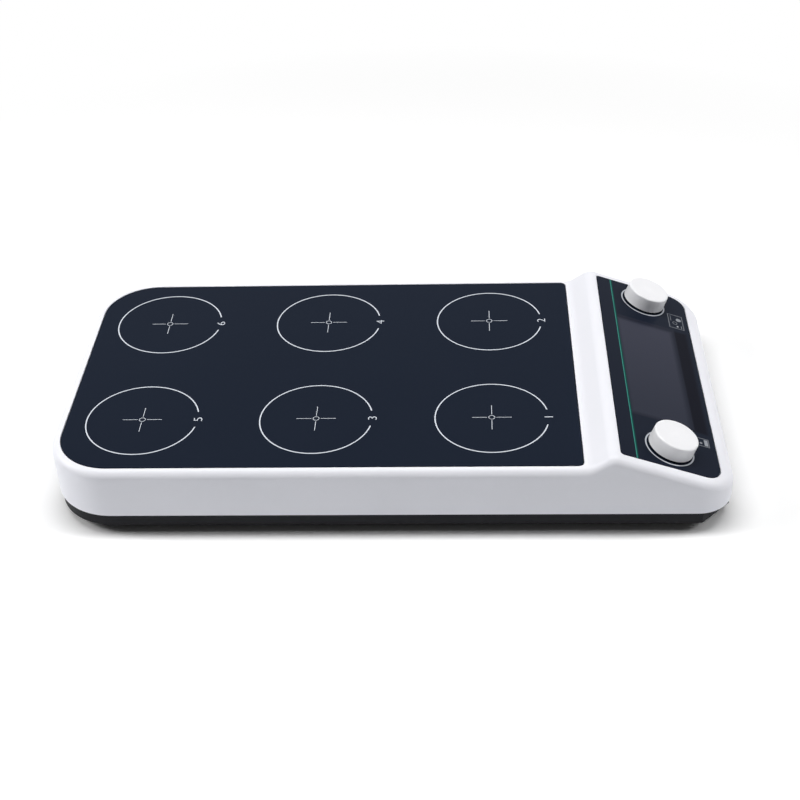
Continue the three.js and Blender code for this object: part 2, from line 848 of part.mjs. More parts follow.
function driveBoard() {
  const length = drivePlate.right - drivePlate.left;
  const middle = (drivePlate.left + drivePlate.right) / 2;
  const shape = roundedShape(length, driveWidth, driveCorner, driveCorner, [middle, 0]);
  const board = slab(shape, driveBottom, driveTop);
  const sunk = driveBottom + boardThickness / 2;
  const chips = columnGaps().flatMap((x) => [-1, 1].map((side) => {
    const y = side * (stakeStandRadius + chipWidth);
    return block(
      [x - chipWidth / 2, y - chipWidth / 2, sunk],
      [x + chipWidth / 2, y + chipWidth / 2, driveTop + chipHeight],
    );
  }));
  const capacitors = [];
  for (let i = 1; i <= capacitorCount; i += 1) {
    const place = [drivePlate.left + stakeEdge + i * capacitorPitch, 0];
    capacitors.push(column(capacitorRadius, sunk, driveTop + capacitorHeight, place));
  }
  const header = block(
    [drivePlate.right - headerLength, ribbonPlace - ribbonWidth / 2, sunk],
    [drivePlate.right, ribbonPlace + ribbonWidth / 2, driveTop + headerHeight],
  );
  const holes = stakePlaces().map((place) => column(
    stakeRadius + seatGap,
    driveBottom - overrun,
    driveTop + overrun,
    place,
    smallSides,
  ));
  return cut(join([board, ...chips, ...capacitors, header]), holes);
}

addPiece(stirrer, 'drive_board', driveBoard(), greenBoard);

// Drives: at each place a ring of coils, a bearing in its hub, and a rotor with the bar magnet that
// takes the stirring bar in the vessel round with it. Heights count from the stator's underside.

const coilTop = statorBase + coilHeight;
const bearingLow = bearingSeat + seatGap;
const bearingTop = bearingLow + bearingHeight;
const rotorHubLow = bearingTop + seatGap;
const rotorLow = rotorHubLow + rotorHubHeight;
const rotorTop = rotorLow + rotorThickness;

function stator() {
  const coils = [];
  for (let i = 0; i < coilCount; i += 1) {
    const angle = (2 * Math.PI * i) / coilCount;
    const place = [coilCircle * Math.cos(angle), coilCircle * Math.sin(angle)];
    coils.push(column(coilRadius, statorBase / 2, coilTop, place, smallSides));
  }
  const body = join([column(statorRadius, 0, statorBase), column(hubRadius, 0, bearingTop), ...coils]);
  return cut(body, [
    column(bearingRadius + seatGap, bearingSeat, bearingTop + overrun),
    column(bearingBore + seatGap, -overrun, bearingTop),
  ]);
}

function bearing() {
  return solid(turned([
    [bearingBore, bearingLow],
    [bearingRadius, bearingLow],
    [bearingRadius, bearingTop],
    [bearingBore, bearingTop],
    [bearingBore, bearingLow],
  ]));
}

function rotor() {
  const cradleLength = magnetLength + 2 * (seatGap + cradleWall);
  const cradleWidth = magnetWidth + 2 * (seatGap + cradleWall);
  const cradle = block(
    [-cradleLength / 2, -cradleWidth / 2, rotorTop - rotorThickness / 2],
    [cradleLength / 2, cradleWidth / 2, rotorTop + cradleHeight],
  );
  const body = join([
    column(bearingBore - runningGap, rotorHubLow - rotorShaftLength, rotorTop),
    column(rotorHubRadius, rotorHubLow, rotorTop),
    column(rotorRadius, rotorLow, rotorTop, [0, 0], fineSides),
    cradle,
  ]);
  const [slotX, slotY] = [magnetLength / 2 + seatGap, magnetWidth / 2 + seatGap];
  const slot = block([-slotX, -slotY, rotorTop], [slotX, slotY, rotorTop + cradleHeight + overrun]);
  return cut(body, [slot]);
}

function barMagnet() {
  const shape = roundedShape(magnetLength, magnetWidth, magnetCorner, magnetCorner);
  return solid(slab(shape, rotorTop + seatGap, rotorTop + seatGap + magnetHeight, edgeSteps));
}

stirringPlaces().forEach(([x, y], i) => {
  const station = new THREE.Group();
  station.position.set(x, y, stationBase);
  stirrer.add(station);
  addPiece(station, `stator_${i + 1}`, stator(), copper);
  addPiece(station, `bearing_${i + 1}`, bearing(), steel);
  addPiece(station, `rotor_${i + 1}`, rotor(), greyPlastic);
  addPiece(station, `bar_magnet_${i + 1}`, barMagnet(), nickel);
});

// Power socket: stands on the drive board, behind a round port in the end wall

function powerInlet() {
  const face = leftEnd + inletRecess;
  const body = solid(block(
    [face, inletY - inletWidth / 2, stationBase],
    [face + inletLength, inletY + inletWidth / 2, stationBase + inletHeight],
  ));
  const boreLength = 2 * inletBoreDepth;
  const bore = new THREE.CylinderGeometry(inletBoreRadius, inletBoreRadius, boreLength, roundSides);
  bore.rotateZ(quarterTurn).translate(face, inletY, inletCentreZ);
  const pinX = face + inletBoreDepth - (inletPinLength - overrun) / 2;
  const pinLength = inletPinLength + overrun;
  const pin = new THREE.CylinderGeometry(inletPinRadius, inletPinRadius, pinLength, smallSides);
  pin.rotateZ(quarterTurn).translate(pinX, inletY, inletCentreZ);
  return body.subtract(solid(bore)).add(solid(pin));
}

addPiece(stirrer, 'power_inlet', powerInlet(), blackPlastic);

// Power switch: a housing in the end wall, and a rocker that tilts about an upright pin in it

const rockerX = leftEnd + rockerPivotDepth;
const rockerFront = rockerPivotDepth + switchFlangeThickness;
const wellHalfLength = rockerHalfLength + wellEndGap;
const wellHalfHeight = rockerHeight / 2 + seatGap;

function switchHousing() {
  const [front, back] = [leftEnd - switchFlangeThickness, leftEnd + switchBodyDepth];
  const slice = (x0, x1, width, height) => block(
    [x0, -width / 2, -height / 2],
    [x1, width / 2, height / 2],
  );
  const body = join([
    slice(front, leftEnd - seatGap, switchFlangeWidth, switchFlangeHeight),
    slice(front, back, switchBodyWidth, switchBodyHeight),
  ]);
  const wellBottom = rockerX + Math.hypot(rockerBackDepth, rockerBackHalfLength) + seatGap;
  const well = slice(front - overrun, wellBottom, 2 * wellHalfLength, 2 * wellHalfHeight);
  const holeRadius = rockerPinRadius + seatGap;
  const pinHole = column(holeRadius, -switchBodyHeight, switchBodyHeight, [rockerX, 0], smallSides);
  return cut(body, [well, pinHole]);
}

// The rocker seen along its pin: two front faces that fall to the middle, and a narrower back
function rocker() {
  const end = rockerFront + rockerHalfLength * Math.tan(rockerTilt * degree);
  const shape = new THREE.Shape([
    new THREE.Vector2(-rockerFront, 0),
    new THREE.Vector2(-end, -rockerHalfLength),
    new THREE.Vector2(0, -rockerHalfLength),
    new THREE.Vector2(rockerBackDepth, -rockerBackHalfLength),
    new THREE.Vector2(rockerBackDepth, rockerBackHalfLength),
    new THREE.Vector2(0, rockerHalfLength),
    new THREE.Vector2(-end, rockerHalfLength),
  ]);
  const reach = rockerHeight / 2 + rockerPinLength;
  const pin = column(rockerPinRadius, -reach, reach, [0, 0], smallSides);
  return join([slab(shape, -rockerHeight / 2, rockerHeight / 2), pin]);
}

const housingPiece = addPiece(stirrer, 'power_switch_housing', switchHousing(), blackPlastic);
housingPiece.position.set(0, switchY, switchCentreZ);
const rockerPiece = addPiece(stirrer, 'power_rocker', rocker(), blackPlastic);
rockerPiece.position.set(rockerX, switchY, switchCentreZ);
rockerPiece.rotation.z = rockerTilt * degree;

// Ribbon cable: a flat band from the drive board's header up to the one under the control board

function ribbonCable() {
  const start = new THREE.Vector3(drivePlate.right - headerLength / 2, 0, driveTop + headerHeight);
  const end = new THREE.Vector3(headerSetback, 0, controlBottom - headerHeight).applyMatrix4(slope.matrix);
  const lift = ribbonThickness / 2 + seatGap;
  const middleX = (start.x + end.x) / 2;
  const course = new THREE.SplineCurve([
    new THREE.Vector2(start.x - headerLength / 2, start.z + lift),
    new THREE.Vector2(start.x + headerLength / 2, start.z + lift),
    new THREE.Vector2(middleX, start.z - ribbonSag),
    new THREE.Vector2(end.x, end.z - lift - seatGap - ribbonSag),
    new THREE.Vector2(end.x + headerLength / 2, end.z - lift - seatGap - ribbonSag / 2),
  ]);
  const upper = [];
  const lower = [];
  for (let i = 0; i <= ribbonSteps; i += 1) {
    const point = course.getPoint(i / ribbonSteps);
    const way = course.getTangent(i / ribbonSteps);
    const across = new THREE.Vector2(-way.y, way.x).multiplyScalar(ribbonThickness / 2);
    upper.push(point.clone().add(across));
    lower.push(point.clone().sub(across));
  }
  const band = slab(new THREE.Shape([...lower, ...upper.reverse()]), 0, ribbonWidth);
  return solid(band.rotateX(quarterTurn).translate(0, ribbonPlace + ribbonWidth / 2, 0));
}

addPiece(stirrer, 'ribbon_cable', ribbonCable(), greyPlastic);

export default stirrer;
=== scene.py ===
import json
import math

import bpy
import numpy as np
from mathutils import Matrix, Vector

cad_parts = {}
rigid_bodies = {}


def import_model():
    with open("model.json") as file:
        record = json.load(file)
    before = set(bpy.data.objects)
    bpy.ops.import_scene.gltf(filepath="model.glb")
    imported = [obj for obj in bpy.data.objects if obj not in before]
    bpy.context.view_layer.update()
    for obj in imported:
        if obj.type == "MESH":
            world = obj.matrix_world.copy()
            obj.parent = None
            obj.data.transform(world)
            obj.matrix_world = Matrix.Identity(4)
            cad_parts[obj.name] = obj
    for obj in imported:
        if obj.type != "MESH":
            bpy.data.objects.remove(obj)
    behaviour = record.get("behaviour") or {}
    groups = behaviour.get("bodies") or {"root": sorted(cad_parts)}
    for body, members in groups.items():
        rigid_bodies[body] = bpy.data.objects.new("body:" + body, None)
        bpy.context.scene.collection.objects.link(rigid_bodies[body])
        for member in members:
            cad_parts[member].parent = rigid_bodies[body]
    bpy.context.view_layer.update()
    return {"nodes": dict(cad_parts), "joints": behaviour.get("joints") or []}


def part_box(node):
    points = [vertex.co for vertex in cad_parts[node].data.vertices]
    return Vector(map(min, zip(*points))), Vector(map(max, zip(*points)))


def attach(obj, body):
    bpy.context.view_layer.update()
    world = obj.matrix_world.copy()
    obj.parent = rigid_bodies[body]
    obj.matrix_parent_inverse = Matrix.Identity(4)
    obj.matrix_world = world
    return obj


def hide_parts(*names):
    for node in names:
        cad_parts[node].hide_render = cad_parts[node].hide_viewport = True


# The looks of a multi-position magnetic stirrer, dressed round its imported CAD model

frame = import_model()


# Upper casing
# A white moulded shell: deck, ridge and console slope are one skin over a hollow with screw bosses.
# It is sprayed with a fine matt texture, stands on the tray's rim and is held by screws from below.

MM = 0.001  # shapes are worked out in millimetres and made in metres
GAP = 0.3  # room between a piece and its seat
PAST = 2.0  # how far a cutting shape runs on past the face that it cuts


def corners(node):
    """A CAD node's lowest and highest corners, in millimetres."""
    return [np.round(np.array(corner) / MM, 3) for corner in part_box(node)]


def middle(node):
    """The middle of a CAD node seen from above, in millimetres."""
    return tuple(np.mean(corners(node), axis=0)[:2])


(LEFT, _, CASING_LOW), (RIGHT, SIDE, _) = corners("upper_casing")
(PLATE_LEFT, _, PLATE_LOW), (PLATE_RIGHT, PLATE_SIDE, DECK) = corners("stirring_plate")
TRAY_TOP = CASING_LOW - GAP
WALL, ROOF = 2.5, 5.2
LEFT_CORNER, RIGHT_CORNER, TRAY_CORNER = 33.5, 19.5, 16.8
CONSOLE_LENGTH, RIDGE = 75.7, 34.0
RIDGE_START = RIGHT - CONSOLE_LENGTH

# The console's own frame: X runs down the slope and Z out of it, from the middle of the panel's top edge
KNOB_TURNS = [joint for joint in frame["joints"] if joint["name"].endswith("knob_turn")]
SLOPE = math.atan2(KNOB_TURNS[0]["axis"][0], KNOB_TURNS[0]["axis"][2])
PANEL_THICKNESS = 1.0
(panel_left, _, _), (panel_right, PANEL_SIDE, panel_top) = corners("console_panel")
SLOPE_ORIGIN = np.array([panel_left + PANEL_THICKNESS * math.sin(SLOPE), 0.0, panel_top])
PANEL_LENGTH = (panel_right - SLOPE_ORIGIN[0]) / math.cos(SLOPE)


def arc(centre, radius, start, turn, steps):
    """Points at a radius round a centre, from a start angle through a turn, both in degrees."""
    angle = np.radians(start + turn * np.arange(steps + 1) / steps)
    return np.column_stack([centre[0] + radius * np.cos(angle), centre[1] + radius * np.sin(angle)])


def side_view(foot_radius=8.0, crest_radius=7.5, steps=14):
    """The top's height along x: level deck, straight flank, straight slope. An arc rounds each corner,
    and its ends lie the radius times the tangent of half the turn away from the corner."""
    rise, fall = math.tan(math.radians(RIDGE)), math.tan(SLOPE)
    crest = (SLOPE_ORIGIN[2] - DECK + rise * RIDGE_START + fall * SLOPE_ORIGIN[0]) / (rise + fall)
    bends = ((RIDGE_START, DECK, 0.0, RIDGE, foot_radius),
             (crest, DECK + rise * (crest - RIDGE_START), RIDGE, -math.degrees(SLOPE), crest_radius))
    points = [[(LEFT - PAST, DECK)]]
    for x, z, way_in, way_out, radius in bends:
        turn = way_out - way_in
        side = math.copysign(1, turn)
        reach = radius * math.tan(math.radians(abs(turn)) / 2)
        c, s = math.cos(math.radians(way_in)), math.sin(math.radians(way_in))
        centre = (x - reach * c - side * radius * s, z - reach * s + side * radius * c)
        points.append(arc(centre, radius, way_in - 90 * side, turn, steps))
    end = RIGHT + PAST
    points.append([(end, SLOPE_ORIGIN[2] - fall * (end - SLOPE_ORIGIN[0]))])
    return np.vstack(points)


TOP = side_view()


def top_at(x):
    """The top's height over each x, straight between the side view's points."""
    return np.interp(x, TOP[:, 0], TOP[:, 1])


def outline(inset, right_corner=RIGHT_CORNER, steps=20, stations=TOP[1:-1, 0]):
    """The casing's outline from above, anticlockwise, drawn in by an inset: two arcs and a straight
    side with a point at each station, then the same again mirrored across y."""
    left = arc((LEFT + LEFT_CORNER, LEFT_CORNER - SIDE), LEFT_CORNER - inset, 180, 90, 20)
    right = arc((RIGHT - right_corner, right_corner - SIDE), right_corner - inset, 270, 90, steps)
    straight = np.column_stack([stations, np.full(len(stations), inset - SIDE)])
    half = np.vstack([left, straight, right])
    return np.vstack([half, half[::-1] * (1, -1)])


def raised(ring, height):
    """An outline in x and y lifted to a height, which may be one for each point."""
    return np.column_stack([ring, np.broadcast_to(height, len(ring))])


def skin(rings, strips=False):
    """A closed surface over rings of equal counts, anticlockwise and listed upwards: a quad between
    each point, the next one and the two above. Its ends are one face each, or strips across y."""
    levels, count = len(rings), len(rings[0])
    start = np.arange(levels - 1)[:, None] * count
    low = (start + np.arange(count)).ravel()
    beside = (start + (np.arange(count) + 1) % count).ravel()
    faces = np.column_stack([low, beside, beside + count, low + count]).tolist()
    top = (levels - 1) * count
    if strips:
        i = np.arange(count // 2 - 1)
        ends = np.column_stack([i, count - 1 - i, count - 2 - i, i + 1])
        faces += ends.tolist() + (top + ends[:, ::-1]).tolist()
    else:
        faces += [list(range(count))[::-1], list(range(top, top + count))]
    return np.vstack(rings), faces


def turned(profile, sides=64, place=(0, 0)):
    """A body of revolution about Z: each (radius, height) of the profile is carried round in a circle."""
    angle = np.radians(360 * np.arange(sides) / sides)
    circle = np.column_stack([np.cos(angle), np.sin(angle)])
    return skin([raised(place + radius * circle, height) for radius, height in profile])


def column(radius, low, high, place=(0, 0), sides=40):
    """A round upright column between two heights: a profile of two points, turned."""
    return turned([(radius, low), (radius, high)], sides, place)


def block(low, high):
    """A box between two opposite corners."""
    (x0, y0, z0), (x1, y1, z1) = low, high
    ring = np.array([(x0, y0), (x1, y0), (x1, y1), (x0, y1)], float)
    return skin([raised(ring, z0), raised(ring, z1)])


def round_edge(radius, width=0.0, height=0.0, steps=6):
    """Widths and heights of a rim that opens by a quarter circle, from straight down to level."""
    angle = np.radians(90 * np.arange(steps + 1) / steps)
    return np.column_stack([width + radius * (1 - np.cos(angle)), height + radius * (np.sin(angle) - 1)])


def on_slope(shape):
    """Turns a shape from the console's own frame into the part's: by the slope about Y, then moved."""
    points, faces = shape
    c, s = math.cos(SLOPE), math.sin(SLOPE)
    return points @ np.array([[c, 0, -s], [0, 1, 0], [s, 0, c]]) + SLOPE_ORIGIN, faces


def new_object(name, shape):
    """Makes a mesh object of a shape's points and faces, with its place in the mesh."""
    points, faces = shape
    mesh = bpy.data.meshes.new(name)
    mesh.from_pydata((points * MM).tolist(), [], faces)
    made = bpy.data.objects.new(name, mesh)
    bpy.context.scene.collection.objects.link(made)
    return made


def shape_of(made):
    """Reads an object's mesh back as a shape, all points and faces at once, and removes the object."""
    mesh = made.data
    points = np.empty(3 * len(mesh.vertices), np.float32)
    rounds = np.empty(len(mesh.loops), np.int32)
    starts = np.empty(len(mesh.polygons), np.int32)
    mesh.vertices.foreach_get("co", points)
    mesh.loops.foreach_get("vertex_index", rounds)
    mesh.polygons.foreach_get("loop_start", starts)
    bpy.data.objects.remove(made)
    return points.reshape(-1, 3) / MM, [face.tolist() for face in np.split(rounds, starts[1:])]


def carved(made, shapes, operation="DIFFERENCE"):
    """Cuts the shapes out of an object, or joins them to it, and keeps the result as its mesh."""
    tools = bpy.data.collections.new("tools")
    bpy.context.scene.collection.children.link(tools)
    for shape in shapes:
        tool = new_object("tool", shape)
        bpy.context.scene.collection.objects.unlink(tool)
        tools.objects.link(tool)
    cut = made.modifiers.new("cut", "BOOLEAN")
    cut.operation, cut.solver = operation, "EXACT"
    cut.operand_type, cut.collection = "COLLECTION", tools
    graph = bpy.context.evaluated_depsgraph_get()
    result = bpy.data.meshes.new_from_object(made.evaluated_get(graph))
    made.modifiers.clear()
    made.data = result
    for tool in list(tools.objects):
        bpy.data.objects.remove(tool)
    bpy.data.collections.remove(tools)
    return made


def as_piece(made, body, finish, replaces=(), sharp=28):
    """Shades an object smooth up to an angle and gives it its body and its finish."""
    mesh = made.data
    mesh.materials.clear()
    mesh.materials.append(finish)
    mesh.polygons.foreach_set("use_smooth", np.ones(len(mesh.polygons), bool))
    mesh.set_sharp_from_angle(angle=math.radians(sharp))
    normals = made.modifiers.new("normals", "WEIGHTED_NORMAL")
    normals.keep_sharp = True
    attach(made, body)
    if replaces:
        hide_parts(*replaces)


class Socket:
    """A shader value that Python's operators work on; each of them adds its Math node."""

    def __init__(self, finish, socket):
        self.finish, self.socket = finish, socket

    def maths(self, operation, first, second=None):
        return self.finish.node("Math", {"operation": operation}, {0: first, 1: second})

    def __add__(self, other):
        return self.maths("ADD", self, other)

    def __sub__(self, other):
        return self.maths("SUBTRACT", self, other)

    def __rsub__(self, other):
        return self.maths("SUBTRACT", other, self)

    def __mul__(self, other):
        return self.maths("MULTIPLY", self, other)

    def __gt__(self, other):
        return self.maths("GREATER_THAN", self, other)

    def __or__(self, other):
        return self.maths("MAXIMUM", self, other)

    def __pow__(self, other):
        return self.maths("POWER", self, other)

    def __abs__(self):
        return self.maths("ABSOLUTE", self)

    __radd__, __rmul__ = __add__, __mul__

    def wave(self, pitch):
        """A sine from 0 to 1 that repeats after each pitch."""
        return self.maths("SINE", self * (2 * math.pi / pitch)) * 0.5 + 0.5

    def softened(self, edge, width):
        """One where the value is under the edge and none above it, with a ramp of the width between."""
        return self.finish.node("MapRange", {"clamp": True}, {
            0: self, 1: edge - width / 2, 2: edge + width / 2, 3: 1.0, 4: 0.0})


class Finish:
    """The nodes of a material, or of the world, that feed its shader."""

    def __init__(self, owner, shader="Principled BSDF"):
        owner.use_nodes = True
        self.owner, self.tree = owner, owner.node_tree
        self.shader = self.tree.nodes[shader]

    def node(self, kind, settings=None, values=None, output=0):
        """Adds a node: first its settings, then its sockets' values or links."""
        made = self.tree.nodes.new("ShaderNode" + kind)
        for key, value in (settings or {}).items():
            setattr(made, key, value)
        for key, value in (values or {}).items():
            self.fill(made.inputs[key], value)
        return Socket(self, made.outputs[output])

    def fill(self, socket, value):
        """Links a value that comes from a node, and types in any other."""
        if isinstance(value, Socket):
            self.tree.links.new(value.socket, socket)
        elif value is not None:
            socket.default_value = value

    def place(self):
        """The point on the piece, in metres in the part's frame."""
        return self.node("TexCoord", output="Object")

    def axes(self, turn=(0, 0, 0), move=(0, 0, 0)):
        """The three coordinates of the point, in millimetres, after a turn and a move."""
        moved = self.node("Mapping", {}, {"Vector": self.place(), "Rotation": turn,
                                          "Scale": (1000, 1000, 1000), "Location": move})
        parts = self.node("SeparateXYZ", {}, {0: moved}).socket.node.outputs
        return [Socket(self, parts[i]) for i in range(3)]

    def noise(self, per_metre, detail=2.0, roughness=0.5, stretch=(1, 1, 1)):
        """Cloudy noise from 0 to 1 with so many cells to a metre, stretched along the axes."""
        point = self.node("Mapping", {}, {"Vector": self.place(), "Scale": stretch})
        return self.node("TexNoise", {}, {"Vector": point, "Scale": per_metre, "Detail": detail,
                                          "Roughness": roughness})

    def mix(self, share, first, second):
        """Blends two colours by a share from 0 to 1."""
        return self.node("Mix", {"data_type": "RGBA"}, {0: share, 6: first, 7: second}, output=2)

    def bump(self, height, depth, under=None):
        """A normal from a height between 0 and 1 that stands for a depth in metres."""
        return self.node("Bump", {}, {"Strength": 1.0, "Distance": depth, "Height": height,
                                      "Normal": under})

    def made(self, **sockets):
        """Fills the shader's sockets, given in words with underscores, and returns what it is for."""
        for key, value in sockets.items():
            self.fill(self.shader.inputs[key.replace("_", " ")], value)
        return self.owner


def new_finish(name):
    """Starts the finish of a new material."""
    return Finish(bpy.data.materials.new(name))


def linear(*levels):
    """A colour from 0 to 255 as displays show it, turned into the linear values that shaders take."""
    share = np.array(levels) / 255
    return (*np.where(share <= 0.04045, share / 12.92, ((share + 0.055) / 1.055) ** 2.4), 1.0)


def moulded(name, colour, shade, roughness, grain=0.00001, per_metre=2600, print_on=None, **constants):
    """Moulded plastic: faint clouds between two near shades, and a fine even grain from the mould."""
    finish = new_finish(name)
    clouds = finish.noise(38, 4.0, 0.6)
    wear = finish.noise(520, 3.0, 0.65)
    texture = finish.noise(per_metre, 1.0, 0.4)
    plain = finish.mix(clouds * 0.8 + wear * 0.2, colour, shade)
    return finish.made(
        Base_Color=print_on(finish, plain) if print_on else plain,
        Roughness=roughness - 0.05 + 0.1 * wear,
        Normal=finish.bump(texture, grain, finish.bump(clouds, 0.00004)),
        **constants,
    )


white_plastic = moulded("white_plastic", linear(245, 245, 251), linear(240, 241, 247), 0.42)


def rounded_plan(low, high, left, right, grow=0.0, steps=14):
    """A rectangle from above whose two left and two right corners are arcs, grown all round."""
    (x0, y0), (x1, y1) = low, high
    bends = ((x0 + left, y0 + left, left, 180), (x1 - right, y0 + right, right, 270),
             (x1 - right, y1 - right, right, 0), (x0 + left, y1 - left, left, 90))
    return np.vstack([arc((x, y), radius + grow, start, 90, steps) for x, y, radius, start in bends])


PLATE_CORNERS, PANEL_CORNERS = (29.0, 3.0), (1.5, 9.5)


def plate_plan(grow):
    """The stirring plate's outline, grown all round."""
    return rounded_plan((PLATE_LEFT, -PLATE_SIDE), (PLATE_RIGHT, PLATE_SIDE), *PLATE_CORNERS, grow)


def panel_plan(grow):
    """The console panel's outline in its own frame, grown all round."""
    return rounded_plan((0.0, -PANEL_SIDE), (PANEL_LENGTH, PANEL_SIDE), *PANEL_CORNERS, grow)


def seat(plan, floor, level, rim=0.35):
    """A recess for a sheet: its plan with a gap, straight up, a rounded rim, and on past the level."""
    rings = [raised(plan(GAP), floor)]
    rings += [raised(plan(GAP + grow), height) for grow, height in round_edge(rim, 0.0, level)]
    return skin(rings + [raised(plan(GAP + rim), level + PAST)])


def casing_rings(foot_edge=0.8, top_edge=4.5):
    """Rings from the foot up: a small quarter circle, the wall, and one that follows the top."""
    rings = []
    for angle in np.radians(90 * np.arange(5) / 4):
        rings.append(raised(outline(foot_edge * (1 - math.sin(angle))),
                            CASING_LOW + foot_edge * (1 - math.cos(angle))))
    for angle in np.radians(90 * np.arange(11) / 10):
        ring = outline(top_edge * (1 - math.cos(angle)))
        rings.append(raised(ring, top_at(ring[:, 0]) - top_edge * (1 - math.sin(angle))))
    return rings


BASE_SCREWS = [middle(f"base_screw_{i}") for i in range(1, 7)]
BASE_BOSS, BASE_HOLE, BASE_HOLE_TOP = 4.0, 1.7, 21.1
CONTROL_SCREWS = [(x, y) for x in (7.5, 40.5) for y in (-58.0, 58.0)]
CONTROL_BOSS, CONTROL_BOSS_LOW = 3.0, -12.2
CONTROL_HOLE, CONTROL_HOLE_LOW, CONTROL_HOLE_TOP = 1.5, -14.5, -6.5

inner = outline(WALL, TRAY_CORNER, 1)
hollow = new_object("hollow", skin([raised(inner, CASING_LOW - PAST),
                                    raised(inner, top_at(inner[:, 0]) - ROOF)], strips=True))
carved(hollow, [column(BASE_BOSS, TRAY_TOP, DECK, place) for place in BASE_SCREWS]
       + [on_slope(column(CONTROL_BOSS, CONTROL_BOSS_LOW, 0, place, 24)) for place in CONTROL_SCREWS])


def down_slope(x, y, z):
    """Where a point of the part, in metres, lies in the plane of the console's own frame."""
    x, _, z = np.array([x, y, z]) / MM - SLOPE_ORIGIN
    return x * math.cos(SLOPE) - z * math.sin(SLOPE), y / MM


def through_wall(shape, place):
    """Lays an upright shape along X, into the end wall from its face, at a place given by y and z."""
    points, faces = shape
    return points[:, [2, 0, 1]] + (LEFT, *place), faces


LEDGE, LEDGE_DEPTH, SEAT_DEPTH = 9.5, 8.0, 1.3
KNOBS = [down_slope(*joint["pos_m"]) for joint in KNOB_TURNS]
BUSHING_HOLE = 4.8
DISPLAY_LOW, DISPLAY_HIGH = (8.0, -50.0), (44.5, 50.0)
DISPLAY_HOLE_LOW = -7.2
INLET = tuple(np.mean(corners("power_inlet"), axis=0)[1:])
PORT, PORT_EDGE, PORT_DEPTH = 5.4, 0.5, 5.0
SWITCH = tuple(np.mean(corners("power_switch_housing"), axis=0)[1:])
SWITCH_CUT, SWITCH_CUT_DEPTH = (9.8, 6.6), 4.5

ledge_plan = rounded_plan((PLATE_LEFT + LEDGE, LEDGE - PLATE_SIDE), (PLATE_RIGHT - LEDGE, PLATE_SIDE - LEDGE),
                          PLATE_CORNERS[0] - LEDGE, PLATE_CORNERS[1])
port = [(radius, -height) for radius, height in round_edge(PORT_EDGE, PORT)[::-1]]
shell = new_object("casing_shell", skin(casing_rings(), strips=True))
carved(shell, [
    shape_of(hollow),
    seat(plate_plan, PLATE_LOW - GAP, DECK),
    skin([raised(ledge_plan, height) for height in (DECK - LEDGE_DEPTH, DECK)]),
    on_slope(seat(panel_plan, -SEAT_DEPTH, 0.0)),
    on_slope(block((DISPLAY_LOW[0] - GAP, DISPLAY_LOW[1] - GAP, DISPLAY_HOLE_LOW),
                   (DISPLAY_HIGH[0] + GAP, DISPLAY_HIGH[1] + GAP, 0.0))),
    *[on_slope(column(BUSHING_HOLE, DISPLAY_HOLE_LOW, 0, place)) for place in KNOBS],
    *[column(BASE_HOLE, TRAY_TOP - PAST, BASE_HOLE_TOP, place, 20) for place in BASE_SCREWS],
    *[on_slope(column(CONTROL_HOLE, CONTROL_HOLE_LOW, CONTROL_HOLE_TOP, place, 20))
      for place in CONTROL_SCREWS],
    through_wall(turned([(PORT + PORT_EDGE, -PAST), *port, (PORT, PORT_DEPTH)], 48), INLET),
    block((LEFT - PAST, SWITCH[0] - SWITCH_CUT[0], SWITCH[1] - SWITCH_CUT[1]),
          (LEFT + SWITCH_CUT_DEPTH, SWITCH[0] + SWITCH_CUT[0], SWITCH[1] + SWITCH_CUT[1])),
])
as_piece(shell, "base", white_plastic, ["upper_casing"])


# Stirring plate
# A dark sheet lies flush in the deck, glued onto the casing's ledge, with a fine ground edge. The six
# places are screen-printed in white: a ring, a cross on its middle, and the place's number in the gap.

PLATE_EDGE, PLATE_UNDER_EDGE = 0.35, 0.25


def sheet_rings(plan, low, high, under_edge, edge):
    """Rings of a flat sheet: a small bevel below, straight up, and a quarter circle in at the top."""
    rings = [raised(plan(-under_edge), low)]
    for angle in np.radians(90 * np.arange(6) / 5):
        rings.append(raised(plan(-edge * (1 - math.cos(angle))), high - edge * (1 - math.sin(angle))))
    return [rings[0], raised(plan(0.0), low + under_edge), *rings[1:]]


def coated_plate():
    """A dark blue-grey coat with faint clouds and a fine satin texture that spreads its reflection."""
    finish = new_finish("dark_plate")
    clouds = finish.noise(14, 3.0, 0.5)
    texture = finish.noise(3200, 2.0, 0.5)
    specks = finish.noise(1900, 1.0, 0.4)
    colour = finish.mix(clouds, linear(24, 31, 44), linear(27, 34, 47))
    return finish.made(
        Base_Color=finish.mix((specks > 0.74) * 0.2, colour, linear(56, 62, 74)),
        Roughness=0.3 + 0.08 * clouds + 0.06 * texture,
        Normal=finish.bump(texture, 0.000004),
        Specular_IOR_Level=0.02,
    )


plate = new_object("plate_sheet", skin(
    sheet_rings(plate_plan, PLATE_LOW, DECK, PLATE_UNDER_EDGE, PLATE_EDGE)))
as_piece(plate, "base", coated_plate(), ["stirring_plate"])


def print_ink():
    """White screen ink: slightly uneven, with pinholes at the edge of being seen."""
    finish = new_finish("print_ink")
    cover = finish.noise(2200, 2.0, 0.6)
    return finish.made(
        Base_Color=finish.mix(cover, linear(214, 220, 232), linear(232, 237, 244)),
        Roughness=0.45 + 0.15 * cover,
        Normal=finish.bump(cover, 0.000006),
        Specular_IOR_Level=0.2,
    )


